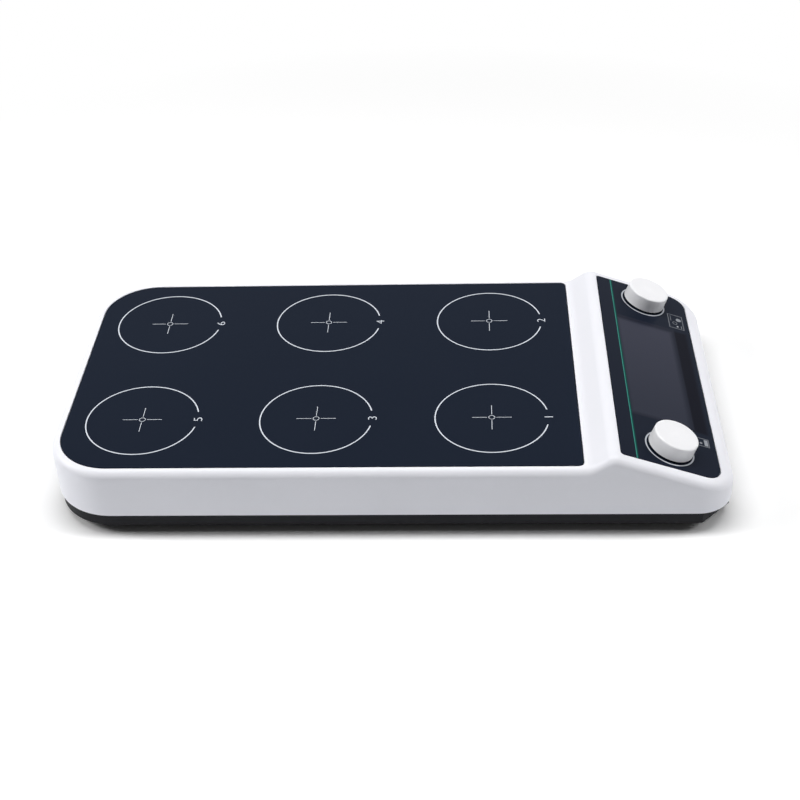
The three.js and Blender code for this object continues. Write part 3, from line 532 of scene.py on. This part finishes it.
def band(inner, outer):
    """A thin flat band of ink between two open lines of points, closed on all six sides."""
    count = len(inner)
    lines = [raised(inner, INK_LOW), raised(outer, INK_LOW), raised(outer, INK_HIGH), raised(inner, INK_HIGH)]
    i = np.arange(count - 1)
    faces = []
    for side in range(4):
        a, b = side * count, (side + 1) % 4 * count
        faces += np.column_stack([a + i, a + i + 1, b + i + 1, b + i]).tolist()
    last = count - 1
    faces += [[0, count, 2 * count, 3 * count], [last, last + 3 * count, last + 2 * count, last + count]]
    return np.vstack(lines), faces


def joined(shapes):
    """Several closed shapes as one: each one's faces count on from the points before it."""
    points, faces, count = [], [], 0
    for shape_points, shape_faces in shapes:
        points.append(shape_points)
        faces += [[i + count for i in face] for face in shape_faces]
        count += len(shape_points)
    return np.vstack(points), faces


def place_mark(centre):
    """A ring that leaves a gap for its number, a small ring on the middle, and four arms between."""
    rings = ((PLACE_RING, RING_WIDTH, RING_GAP, 360 - 2 * RING_GAP, 150), (HUB_RING, ARM_WIDTH, 0, 359.9, 40))
    bands = [band(arc(centre, outer - width, start, turn, steps), arc(centre, outer, start, turn, steps))
             for outer, width, start, turn, steps in rings]
    for way in ((1, 0), (0, 1), (-1, 0), (0, -1)):
        way = np.array(way)
        side = np.array([-way[1], way[0]]) * ARM_WIDTH / 2
        line = centre + np.outer(ARM, way)
        bands.append(band(line + side, line - side))
    return joined(bands)


def place_number(name, digit, centre):
    """A digit as a flat mesh, turned to read from the right end, widened, and laid in its ring's gap."""
    text = bpy.data.curves.new(name, "FONT")
    text.body, text.size = digit, NUMBER_HEIGHT * MM
    text.align_x, text.align_y = "CENTER", "CENTER"
    text.extrude, text.offset = INK_HIGH * MM - DECK * MM, -NUMBER_THINNING * MM
    letter = bpy.data.objects.new(name, text)
    bpy.context.scene.collection.objects.link(letter)
    graph = bpy.context.evaluated_depsgraph_get()
    flat = bpy.data.meshes.new_from_object(letter.evaluated_get(graph))
    bpy.data.objects.remove(letter)
    flat.transform(Matrix.Translation(((centre[0] + PLACE_RING) * MM, centre[1] * MM, DECK * MM))
                   @ Matrix.Rotation(math.pi / 2, 4, "Z") @ Matrix.Diagonal((NUMBER_STRETCH, 1, 1, 1)))
    number = bpy.data.objects.new(name, flat)
    bpy.context.scene.collection.objects.link(number)
    return number


INK_LOW, INK_HIGH = DECK - 0.02, DECK + 0.03
PLACE_RING, RING_WIDTH, HUB_RING = 30.3, 0.65, 1.75
RING_GAP = 12.9  # half of the number's gap, in degrees
ARM, ARM_WIDTH = (2.5, 10.5), 0.3
NUMBER_HEIGHT, NUMBER_STRETCH, NUMBER_THINNING = 6.8, 1.25, 0.1
PLACES = [middle(f"stator_{i}") for i in range(1, 7)]
ink = print_ink()
for i, centre in enumerate(PLACES, 1):
    as_piece(new_object(f"place_{i}_mark", place_mark(centre)), "base", ink)
    as_piece(place_number(f"place_{i}_number", str(i), centre), "base", ink)


# Base tray
# A shallow black tray, moulded with a coarser matt grain, closes the casing from below. A tongue
# inside the casing's wall keeps it in place, and its stakes carry the drive board.

(_, _, FOOT), (_, _, STAKE_TOP) = corners("base_tray")
TRAY_INSET, TRAY_EDGE, TRAY_WALL, TRAY_FLOOR = 1.0, 0.6, 2.0, 2.5
FLOOR_TOP = FOOT + TRAY_FLOOR
TONGUE_TOP, TONGUE_INSET = TRAY_TOP + 2.0, WALL + GAP
TRAY_BOSS = 5.5
FEET = [middle(f"foot_{i}") for i in range(1, 5)]
FOOT_RECESS, FOOT_RECESS_DEPTH = 9.3, 1.0
HEAD_RECESS, HEAD_RECESS_TOP = 3.3, 9.1
STAKE_EDGE, STAND, STAKE, STAKE_HEAD = 8.0, 3.0, 1.2, 2.2
(board_left, _, BOARD_LOW), (board_right, board_side, _) = corners("drive_board")
columns = sorted({x for x, _ in PLACES})
STAKES = [((first + second) / 2, y) for first, second in zip(columns, columns[1:])
          for y in (STAKE_EDGE - board_side, 0, board_side - STAKE_EDGE)]
STAKES += [(board_left + STAKE_EDGE, 0), (board_right - STAKE_EDGE, 0)]


def tray_ring(inset, height):
    """The tray's outline drawn in by an inset, with straight right corners, at a height."""
    sides = np.linspace(LEFT + LEFT_CORNER, RIGHT - TRAY_CORNER, 7)[1:-1]
    return raised(outline(inset, TRAY_CORNER, 1, stations=sides), height)


def counterbore(radius, top, mouth=0.4):
    """A round hole from below, turned, whose mouth opens by a bevel."""
    return [(radius + mouth, FOOT - PAST), (radius + mouth, FOOT + 0.1), (radius, FOOT + mouth + 0.1),
            (radius, top)]


black_plastic = moulded("black_plastic", linear(19, 20, 24), linear(26, 27, 31), 0.55, 0.00003, 1500,
                        Specular_IOR_Level=0.15)
edge = [(TRAY_INSET + TRAY_EDGE * (1 - math.sin(angle)), FOOT + TRAY_EDGE * (1 - math.cos(angle)))
        for angle in np.radians([0, 22, 45, 68, 90])]
stake = [(STAND, FOOT + TRAY_FLOOR / 2), (STAND, BOARD_LOW - GAP), (STAKE, BOARD_LOW - GAP),
         (STAKE, STAKE_TOP - 1), (STAKE_HEAD, STAKE_TOP - 1), (STAKE_HEAD - 0.2, STAKE_TOP - 0.3),
         (STAKE_HEAD - 0.8, STAKE_TOP)]
tray = new_object("tray_shell", skin([tray_ring(*step) for step in [*edge, (TRAY_INSET, TRAY_TOP)]], True))
carved(tray, [skin([tray_ring(TONGUE_INSET, height) for height in (FLOOR_TOP, TONGUE_TOP)], True)], "UNION")
carved(tray, [skin([tray_ring(TONGUE_INSET + TRAY_WALL, height) for height in (FLOOR_TOP, TONGUE_TOP + PAST)],
                   True)])
carved(tray, [column(TRAY_BOSS, FOOT + 0.5, TRAY_TOP - GAP, place) for place in BASE_SCREWS]
       + [turned(stake, 24, place) for place in STAKES], "UNION")
carved(tray, [column(FOOT_RECESS, FOOT - PAST, FOOT + FOOT_RECESS_DEPTH, place, 56) for place in FEET]
       + [turned(counterbore(HEAD_RECESS, HEAD_RECESS_TOP), 40, place) for place in BASE_SCREWS]
       + [column(BASE_HOLE, FOOT, TRAY_TOP + 1, place, 24) for place in BASE_SCREWS])
as_piece(tray, "base", black_plastic, ["base_tray"])


# Feet
# Four black rubber discs, glued into round recesses under the tray. Each has a rounded foot edge and
# two ring grooves in the face that it stands on.

def rubber():
    """Soft rubber: nearly black, dull, with talc that stays in the pits of its grain."""
    finish = new_finish("rubber")
    grain = finish.noise(1400, 3.0, 0.7)
    dust = finish.noise(160, 3.0, 0.6)
    return finish.made(
        Base_Color=finish.mix(grain * dust, linear(24, 24, 26), linear(58, 58, 60)),
        Roughness=0.7 + 0.25 * grain,
        Normal=finish.bump(grain, 0.00005),
    )


foot_rubber = rubber()
foot_profile = [(0, 0.25), (3.4, 0.25), (3.6, 0.05), (3.9, 0), (5.1, 0), (5.3, 0.4), (5.9, 0.4), (6.1, 0),
                (7.7, 0), (8.2, 0.15), (8.5, 0.45), (8.6, 0.9), (8.95, 4.9), (9, 5.2), (9, 5.8), (0, 5.8)]
for i, place in enumerate(FEET, 1):
    foot = new_object(f"rubber_foot_{i}", turned(foot_profile, 56, place))
    as_piece(foot, "base", foot_rubber, [f"foot_{i}"])


# Base screws
# Six zinc-plated screws with low heads and hexagon sockets stand head down in the tray's counterbores.
# Their threads cut into the casing's bosses.

def steel(name, colour, shade, per_metre, stretch):
    """Bright metal: fine lines drawn along one axis, and a few duller patches."""
    finish = new_finish(name)
    lines = finish.noise(per_metre, 3.0, 0.6, stretch)
    patches = finish.noise(90, 3.0, 0.6)
    return finish.made(
        Base_Color=finish.mix(patches, colour, shade),
        Metallic=1.0,
        Roughness=0.2 + 0.16 * lines + 0.1 * patches,
        Normal=finish.bump(lines, 0.000006),
    )


def screw(place, head, head_height, shank, length, seat_height, sides=36):
    """Rings from the hexagon socket's floor, out over the head, and up the thread to the tip. A
    hexagon's reach is one over the cosine of the angle from the middle of its nearest side."""
    angle = np.radians(360 * np.arange(sides) / sides)
    circle = np.column_stack([np.cos(angle), np.sin(angle)])
    hexagon = circle / np.cos((angle % (math.pi / 3)) - math.pi / 6)[:, None]
    socket, socket_depth, edge, pitch, thread = 1.12, 1.0, 0.4, 0.6, 0.25
    steps = [(socket, socket_depth - head_height, hexagon), (socket, 0.12 - head_height, hexagon),
             (socket + 0.13, -head_height, circle)]
    steps += [(head - edge * (1 - math.sin(turn)), edge * (1 - math.cos(turn)) - head_height, circle)
              for turn in np.radians([0, 30, 60, 90])]
    steps += [(head, -0.15, circle), (head - 0.15, 0, circle), (shank - 0.05, 0, circle)]
    for height in np.arange(0.8, length - 2 * pitch, pitch):
        steps += [(shank - thread, height, circle), (shank, height + 0.28, circle),
                  (shank - thread, height + 0.56, circle)]
    steps.append((shank - 0.5, length, circle))
    return skin([raised(place + radius * shape, seat_height + height) for radius, height, shape in steps])


plated_steel = steel("plated_steel", linear(190, 192, 196), linear(160, 163, 168), 900, (1, 1, 0.2))
for i, place in enumerate(BASE_SCREWS, 1):
    made = new_object(f"tray_screw_{i}", screw(place, 3.0, 1.8, 1.4, 11.7, HEAD_RECESS_TOP - GAP))
    as_piece(made, "base", plated_steel, [f"base_screw_{i}"])


# Console panel
# A stiff overlay lies in its seat on the slope. It is printed from behind under a glossy film: a teal
# line, a ring round each knob, small pictograms, and a window that is left clear over the display.

FILM_EDGE, FILM_UNDER_EDGE = 0.25, 0.15
KNOB_RING, KNOB_RING_WIDTH = 13.2, 0.8
TEAL_LINE = 8.5
WINDOW = (9.6, 42.6, -45.5, 44.5)  # its two ends down the slope, then its two sides across it
# Printed marks: two ends, two sides and strength of a frame or a bar; place, radius, line and
# strength of a ring
FRAMES = (((42.8, 52.2, 51.0, 65.5), 0.3), ((43.5, 52.0, -60.0, -53.0), 0.3))
BARS = (((44.3, 44.8, 58.5, 64.0), 0.25), ((47.7, 48.6, 52.9, 54.0), 1.0), ((50.4, 50.8, 52.2, 54.8), 0.5),
        ((49.2, 51.2, -59.0, -54.0), 0.55))
RINGS = (((49.5, 60.8, 0.7, 1.8), 0.5), ((46.8, 56.6, 1.3, 0.4), 0.3), ((47.2, -57.4, 0.5, 0.5), 0.5))


def printed_film():
    """Everything is a mask in the console's own frame: u runs down the slope and v across it. A
    rectangle's distance is the larger of those beside and above it, and a ring's is from its circle."""
    finish = new_finish("printed_film")
    c, s = math.cos(SLOPE), math.sin(SLOPE)
    x0, _, z0 = SLOPE_ORIGIN
    u, v, _ = finish.axes((0, -SLOPE, 0), (z0 * s - x0 * c, 0, -x0 * s - z0 * c))

    def box(u0, u1, v0, v1, blur=0.25, line=0.0):
        """One inside a rectangle, drawn in by a line's width, and none outside, with a soft edge."""
        beside = abs(u - (u0 + u1) / 2) - (u1 - u0) / 2
        above = abs(v - (v0 + v1) / 2) - (v1 - v0) / 2
        return (beside | above).softened(-line, blur)

    def ring(at_u, at_v, radius, width):
        """One on a circle's line and none off it, with a soft edge."""
        reach = ((u - at_u) ** 2.0 + (v - at_v) ** 2.0) ** 0.5
        return abs(reach - radius).softened(width / 2, 0.2)

    clouds = finish.noise(26, 2.0, 0.5)
    colour = finish.mix(clouds, linear(26, 32, 45), linear(29, 35, 48))
    colour = finish.mix(box(44.0, 52.5, -49.0, 47.0, 2.0), colour, linear(18, 20, 31))
    colour = finish.mix(box(WINDOW[0], WINDOW[1] + 2.4, WINDOW[2] - 2, WINDOW[3] + 4, 1.0), colour,
                        linear(37, 40, 52))
    # Over the window the glass is lighter towards the back of the panel and darker towards the front: a
    # painted reflection.
    glass = finish.mix(v.softened(0.0, 75.0), linear(60, 62, 75), linear(50, 53, 65))
    colour = finish.mix(box(*WINDOW, 3.0), colour, glass)
    colour = finish.mix(abs(u - TEAL_LINE - 0.4).softened(0.5, 0.4), colour, linear(14, 72, 64))
    colour = finish.mix(abs(u - TEAL_LINE).softened(0.22, 0.25), colour, linear(62, 146, 134))
    marks = ring(*KNOBS[0], KNOB_RING, KNOB_RING_WIDTH) | ring(*KNOBS[1], KNOB_RING, KNOB_RING_WIDTH)
    for sides, strength in FRAMES:
        marks = marks | (box(*sides) - box(*sides, line=0.5)) * strength
    for sides, strength in BARS:
        marks = marks | box(*sides) * strength
    for round_mark, strength in RINGS:
        marks = marks | ring(*round_mark) * strength
    ripple = finish.noise(420, 1.0, 0.3)
    return finish.made(
        Base_Color=finish.mix(marks, colour, linear(200, 204, 212)),
        Roughness=0.12 + 0.05 * ripple + 0.05 * clouds,
        Normal=finish.bump(ripple, 0.000003),
        Specular_IOR_Level=0.02,
    )


overlay = new_object("panel_overlay", on_slope(skin(
    sheet_rings(panel_plan, -PANEL_THICKNESS, 0.0, FILM_UNDER_EDGE, FILM_EDGE))))
carved(overlay, [on_slope(column(BUSHING_HOLE, -PAST, PAST, place, 48)) for place in KNOBS])
as_piece(overlay, "base", printed_film(), ["console_panel"])


# Display
# A liquid crystal cell lies in the casing's opening under the overlay. A white light box stands behind
# it on the control board.

def finished(names, finish):
    """Gives CAD nodes that stay as they are their finish."""
    for name in names:
        frame["nodes"][name].material_slots[0].material = finish


def crystal():
    """Grey-green crystal glass with the faint lattice of its cells, and smears in its gloss."""
    finish = new_finish("liquid_crystal")
    cells = finish.node("TexBrick", {"offset": 0.0}, {
        "Vector": finish.place(), "Scale": 900.0, "Mortar Size": 0.04, "Color1": linear(108, 116, 120),
        "Color2": linear(104, 112, 116), "Mortar": linear(84, 92, 97)})
    smear = finish.noise(60, 2.0, 0.5)
    return finish.made(Base_Color=cells, Roughness=0.12 + 0.1 * smear, Coat_Weight=0.4)


finished(["lcd_panel"], crystal())
finished(["lcd_light_box"], moulded("light_box_white", linear(238, 238, 236), linear(229, 229, 226), 0.6))


# Knobs
# Two white push-and-turn knobs, moulded hollow with a hub that grips the encoder's shaft. The side
# leans in slightly to the top, and the top's edge is rounded.

knob_plastic = moulded("knob_plastic", linear(249, 249, 251), linear(245, 245, 248), 0.36, 0.000008, 3000)
KNOB_TOP, KNOB_TOP_RADIUS, KNOB_EDGE = 9.48, 12.02, 0.9
knob_profile = [(0, 7.3), (2.9, 7.3), (3.15, 7.05), (3.15, 1.5), (3.4, 1.2), (4.8, 1.2), (5, 1.4), (5, 6.9),
                (5.4, 7.3), (10.1, 7.3), (10.5, 6.9), (10.7, 1.4), (10.9, 1.2), (11.9, 1.2), (12.1, 1.28),
                (12.2, 1.5)]
knob_profile += [(KNOB_TOP_RADIUS - KNOB_EDGE * (1 - math.cos(angle)),
                  KNOB_TOP - KNOB_EDGE * (1 - math.sin(angle)))
                 for angle in np.radians(90 * np.arange(9) / 8)]
knob_profile += [(10.6, KNOB_TOP), (10.2, 9.46), (6, 9.42), (0, 9.4)]
for name, place in zip(("timer", "speed"), KNOBS):
    knob = new_object(f"{name}_cap", on_slope(turned(knob_profile, 120, place)))
    as_piece(knob, f"{name}_dial", knob_plastic, [f"{name}_knob"], 40)


# Encoders
# Under each knob a rotary encoder is soldered to the control board: a grey body with a threaded
# bushing, a black push slider at the bottom of its bore, and a steel shaft with a flat.

grey_plastic = moulded("grey_plastic", linear(140, 144, 151), linear(130, 134, 141), 0.5, 0.00002, 1800)
turned_steel = steel("turned_steel", linear(182, 184, 188), linear(150, 153, 158), 2400, (1, 1, 6))
finished([f"{name}_encoder_body" for name in ("timer", "speed")], grey_plastic)
finished([f"{name}_push_slider" for name in ("timer", "speed")], black_plastic)
finished([f"{name}_encoder_shaft" for name in ("timer", "speed")], turned_steel)


# Circuit boards and the ribbon cable
# Two green boards: the control board is screwed to bosses under the slope, and the drive board lies on
# the tray's stands, held by staked pins. A grey ribbon cable joins their headers.

RIBBON_EDGE = corners("ribbon_cable")[0][1]
WIRE_PITCH = 1.0


def solder_mask():
    """Green lacquer with paler tracks, the joints of a brick pattern, and tinned pads at cell middles."""
    finish = new_finish("circuit_board")
    wander = finish.noise(45, 2.0, 0.5)
    tracks = finish.node("TexBrick", {"offset": 0.37, "squash": 2.5}, {
        "Vector": finish.place(), "Scale": 130.0, "Mortar Size": 0.012, "Color1": (0, 0, 0, 1),
        "Color2": (0, 0, 0, 1), "Mortar": (1, 1, 1, 1)}, output=1)
    dots = finish.node("TexVoronoi", {"feature": "F1"}, {"Vector": finish.place(), "Scale": 240.0})
    pads = dots.softened(0.16, 0.03) * (wander > 0.55)
    colour = finish.mix(tracks * 0.55, linear(26, 92, 58), linear(60, 140, 92))
    colour = finish.mix(wander * 0.3, colour, linear(18, 70, 46))
    return finish.made(
        Base_Color=finish.mix(pads, colour, linear(196, 196, 190)),
        Metallic=pads * 0.9,
        Roughness=0.34 + 0.12 * wander,
        Normal=finish.bump(tracks | pads, 0.00003),
    )


def ribbon():
    """Grey vinyl over twenty wires side by side: a ridge for each, and the first one red."""
    finish = new_finish("ribbon_cable")
    _, y, _ = finish.axes()
    clouds = finish.noise(80, 2.0, 0.5)
    colour = finish.mix(clouds, linear(150, 153, 158), linear(138, 141, 147))
    return finish.made(
        Base_Color=finish.mix((y - RIBBON_EDGE).softened(WIRE_PITCH, 0.1), colour, linear(168, 44, 40)),
        Roughness=0.45 + 0.1 * clouds,
        Normal=finish.bump(y.wave(WIRE_PITCH), 0.0002),
    )


finished(["control_board", "drive_board"], solder_mask())
finished([f"control_screw_{i}" for i in range(1, 5)], plated_steel)
finished(["ribbon_cable"], ribbon())


# Drives
# Under each place six coils of enamelled copper wire stand round a hub with a ball bearing. The rotor
# above them is a grey moulded carrier, and its nickel-plated bar magnet takes the stirring bar round.

WIRE_DIAMETER = 0.35


def windings():
    """Enamelled copper wire wound round upright cores: a fine ridge for each turn."""
    finish = new_finish("copper_windings")
    _, _, z = finish.axes()
    clouds = finish.noise(300, 2.0, 0.5)
    return finish.made(
        Base_Color=finish.mix(clouds, linear(186, 98, 52), linear(150, 70, 34)),
        Metallic=1.0,
        Roughness=0.28 + 0.15 * clouds,
        Normal=finish.bump(z.wave(WIRE_DIAMETER), 0.0001),
        Coat_Weight=0.5,
    )


copper = windings()
nickel = steel("nickel", linear(206, 202, 190), linear(186, 182, 170), 500, (0.3, 1, 1))
for kind, finish in (("stator", copper), ("bearing", turned_steel), ("rotor", grey_plastic),
                     ("bar_magnet", nickel)):
    finished([f"{kind}_{i}" for i in range(1, 7)], finish)


# Power socket
# A black moulded socket stands on the drive board behind the round port in the end wall. Its bore has a
# contact pin on its axis.

def squared(width, height, sides=64, power=14):
    """A rounded rectangle round the origin: a superellipse, the circle's sine and cosine to a power."""
    angle = np.radians(360 * (np.arange(sides) + 0.5) / sides)
    c, s = np.cos(angle), np.sin(angle)
    return np.column_stack([width / 2 * np.sign(c) * np.abs(c) ** (2 / power),
                            height / 2 * np.sign(s) * np.abs(s) ** (2 / power)])


def in_wall(sections, place):
    """A closed skin along X over outlines in y and z. Each has its depth behind the end wall's face,
    the inmost first, and the place is added to all of them."""
    return skin([np.column_stack([np.full(len(ring), LEFT + depth), ring + place])
                 for ring, depth in sections[::-1]])


def pin_step(radius, depth):
    """A round section: a superellipse to the power of two."""
    return squared(2 * radius, 2 * radius, power=2), depth


SOCKET_FACE, SOCKET_LENGTH = 5.0, 14.0
SOCKET_WIDTH, SOCKET_HEIGHT = 11.0, 11.4
SOCKET_BORE, PIN = 3.15, 1.0
socket_sections = [
    (squared(SOCKET_WIDTH - 0.4, SOCKET_HEIGHT - 0.4), SOCKET_FACE + SOCKET_LENGTH),
    (squared(SOCKET_WIDTH, SOCKET_HEIGHT), SOCKET_FACE + SOCKET_LENGTH - 0.3),
    (squared(SOCKET_WIDTH, SOCKET_HEIGHT), SOCKET_FACE + 0.4),
    (squared(SOCKET_WIDTH - 0.7, SOCKET_HEIGHT - 0.7), SOCKET_FACE),
    pin_step(SOCKET_BORE + 0.4, SOCKET_FACE), pin_step(SOCKET_BORE + 0.1, SOCKET_FACE + 0.15),
    pin_step(SOCKET_BORE, SOCKET_FACE + 0.5), pin_step(SOCKET_BORE, SOCKET_FACE + 9.5),
    pin_step(PIN, SOCKET_FACE + 9.5), pin_step(PIN, SOCKET_FACE + 1.6),
    pin_step(PIN - 0.15, SOCKET_FACE + 1.2), pin_step(PIN - 0.5, SOCKET_FACE + 1.0),
]
as_piece(new_object("dc_socket", in_wall(socket_sections, INLET)), "base", black_plastic,
         ["power_inlet"])


# Power switch
# A black rocker switch is snapped into the end wall. Its frame stands a millimetre proud of the wall,
# and the rocker tilts on an upright pin in the frame's well. A bar and a ring are printed on its faces.

def on_and_off(finish, plain):
    """A white bar on one half of the rocker and a ring on the other: lines at their distances."""
    _, y, z = finish.axes(move=(0, -SWITCH[0], -SWITCH[1]))
    bar = ((abs(y + MARK_PLACE) - MARK_LINE / 2) | (abs(z) - MARK_RADIUS)).softened(0.0, 0.1)
    off = abs(((y - MARK_PLACE) ** 2.0 + z ** 2.0) ** 0.5 - MARK_RADIUS).softened(MARK_LINE / 2, 0.1)
    return finish.mix(bar | off, plain, linear(214, 216, 220))


def rocker_shape():
    """The rocker's outline seen along its pin, each front face hollowed by an arc, then tilted."""
    half = np.linspace(0, 1, 9)
    front = -(ROCKER_FRONT + 0.81 * half - 0.28 * np.sin(math.pi * half))
    upper = np.column_stack([front, ROCKER_HALF * half])
    lower = upper[:0:-1] * (1, -1)
    back = [(0, ROCKER_HALF), (3, 4), (3, -4), (0, -ROCKER_HALF)]
    c, s = math.cos(ROCKER_TILT), math.sin(ROCKER_TILT)
    side = np.vstack([lower, upper, back]) @ np.array([[c, s], [-s, c]]) + (LEFT + PIN_DEPTH, SWITCH[0])
    return skin([raised(side[::-1], SWITCH[1] + z) for z in (-ROCKER_WIDTH / 2, ROCKER_WIDTH / 2)])


MARK_PLACE, MARK_LINE, MARK_RADIUS = 3.6, 0.45, 1.4
ROCKER_FRONT, ROCKER_HALF, ROCKER_WIDTH = 4.0, 6.6, 10.0
ROCKER_TILT, PIN_DEPTH = math.radians(7), 3.0
WELL_WIDTH, WELL_HEIGHT = 15.0, 10.6
BEZEL_WIDTH, BEZEL_HEIGHT, BODY_WIDTH, BODY_HEIGHT = 21.0, 14.8, 19.0, 12.6
well = squared(WELL_WIDTH, WELL_HEIGHT, power=24)
switch_sections = [
    (squared(BODY_WIDTH - 0.4, BODY_HEIGHT - 0.4), 14.0), (squared(BODY_WIDTH, BODY_HEIGHT), 13.6),
    (squared(BODY_WIDTH, BODY_HEIGHT), -GAP), (squared(BEZEL_WIDTH - 0.4, BEZEL_HEIGHT - 0.4), -GAP),
    (squared(BEZEL_WIDTH, BEZEL_HEIGHT), -GAP - 0.1), (squared(BEZEL_WIDTH, BEZEL_HEIGHT), -0.75),
    (squared(BEZEL_WIDTH - 0.6, BEZEL_HEIGHT - 0.6), -1.0),
    (squared(WELL_WIDTH + 0.6, WELL_HEIGHT + 0.6, power=24), -1.0),
    (squared(WELL_WIDTH + 0.1, WELL_HEIGHT + 0.1, power=24), -0.8), (well, -0.5), (well, 8.3),
]
switch_black = (linear(26, 26, 28), linear(32, 32, 34), 0.38, 0.00001, 2400)
as_piece(new_object("switch_frame", in_wall(switch_sections, SWITCH)), "base",
         moulded("switch_black", *switch_black), ["power_switch_housing"])

rocker = new_object("switch_rocker", rocker_shape())
rounding = rocker.modifiers.new("rounding", "BEVEL")
rounding.width, rounding.segments, rounding.limit_method = 0.35 * MM, 3, "ANGLE"
rounding.angle_limit = math.radians(35)
as_piece(rocker, "power_rocker", moulded("rocker_black", *switch_black, on_and_off),
         ["power_rocker"], 40)


# Studio
# A plain white floor, a long narrow softbox overhead, a smaller one at each end, and faint light all
# round. The camera stands in front, 36 degrees up.

def straight_sight(finish):
    """One for rays that the camera sends, straight, by a mirror or through glass, and none for others."""
    rays = finish.node("LightPath").socket.node.outputs
    seen = Socket(finish, rays["Is Camera Ray"]) | Socket(finish, rays["Is Glossy Ray"])
    return seen | Socket(finish, rays["Is Transmission Ray"])


def pale_floor():
    """White where the camera looks, a shade darker for the light that it sends back up. Far out the
    camera sees even white, so that the floor doesn't fall off into grey."""
    finish = new_finish("floor")
    seen = straight_sight(finish)
    x, y, _ = finish.axes()
    far = seen * (1 - ((x * x + y * y) ** 0.5).softened(450.0, 200.0))
    near = finish.mix(seen, (0.97, 0.98, 1.0, 1), (1.12, 1.12, 1.12, 1))
    return finish.made(
        Base_Color=finish.mix(far, near, (0, 0, 0, 1)),
        Emission_Color=finish.mix(far, (0, 0, 0, 1), (1, 1, 1, 1)),
        Emission_Strength=1.0,
        Roughness=0.9,
        Specular_IOR_Level=0.0,
    )


def softbox(name, place, size, power):
    """A rectangular lamp at a place in metres, aimed at the part's middle."""
    light = bpy.data.lights.new(name, "AREA")
    light.shape, light.size, light.size_y, light.energy = "RECTANGLE", *size, power
    lamp = bpy.data.objects.new(name, light)
    bpy.context.scene.collection.objects.link(lamp)
    lamp.location = place
    lamp.rotation_euler = Vector(place).to_track_quat("Z", "Y").to_euler()


FLOOR_REACH, FLOOR_DROP = 9000.0, 0.05
floor_plan = np.array([(-1, -1), (1, -1), (1, 1), (-1, 1)]) * FLOOR_REACH
floor = new_object("floor", (raised(floor_plan, -FLOOR_DROP), [[0, 1, 2, 3]]))
floor.data.materials.append(pale_floor())

studio = Finish(bpy.data.worlds.new("studio"), "Background")
bpy.context.scene.world = studio.made(Color=(1, 1, 1, 1), Strength=0.06 + 0.94 * straight_sight(studio))

softbox("overhead", (0, 0.02, 1.25), (1.5, 0.2), 12.2)
softbox("left", (-1.25, -0.03, 0.8), (0.45, 0.5), 8.2)
softbox("right", (1.3, 0.03, 0.9), (0.5, 0.5), 5.6)

camera = bpy.data.cameras.new("camera")
camera.sensor_width, camera.lens = 36, 66.152
camera.clip_start, camera.clip_end = 0.01, 100
azimuth, elevation, roll = np.radians((-3.408, 36.108, -2.436))
ahead = np.array([math.sin(azimuth) * math.cos(elevation), math.cos(azimuth) * math.cos(elevation),
                  -math.sin(elevation)])
right = np.array([math.cos(azimuth), -math.sin(azimuth), 0])
down = np.cross(ahead, right)
right, down = math.cos(roll) * right - math.sin(roll) * down, math.sin(roll) * right + math.cos(roll) * down
view = np.eye(4)
view[:3, :3] = np.column_stack([right, -down, -ahead])
view[:3, 3] = (0.04293, -0.66921, 0.50750)
stand = bpy.data.objects.new("camera", camera)
bpy.context.scene.collection.objects.link(stand)
stand.matrix_world = Matrix(view.tolist())
bpy.context.scene.camera = stand
bpy.context.scene.view_settings.view_transform = "Standard"
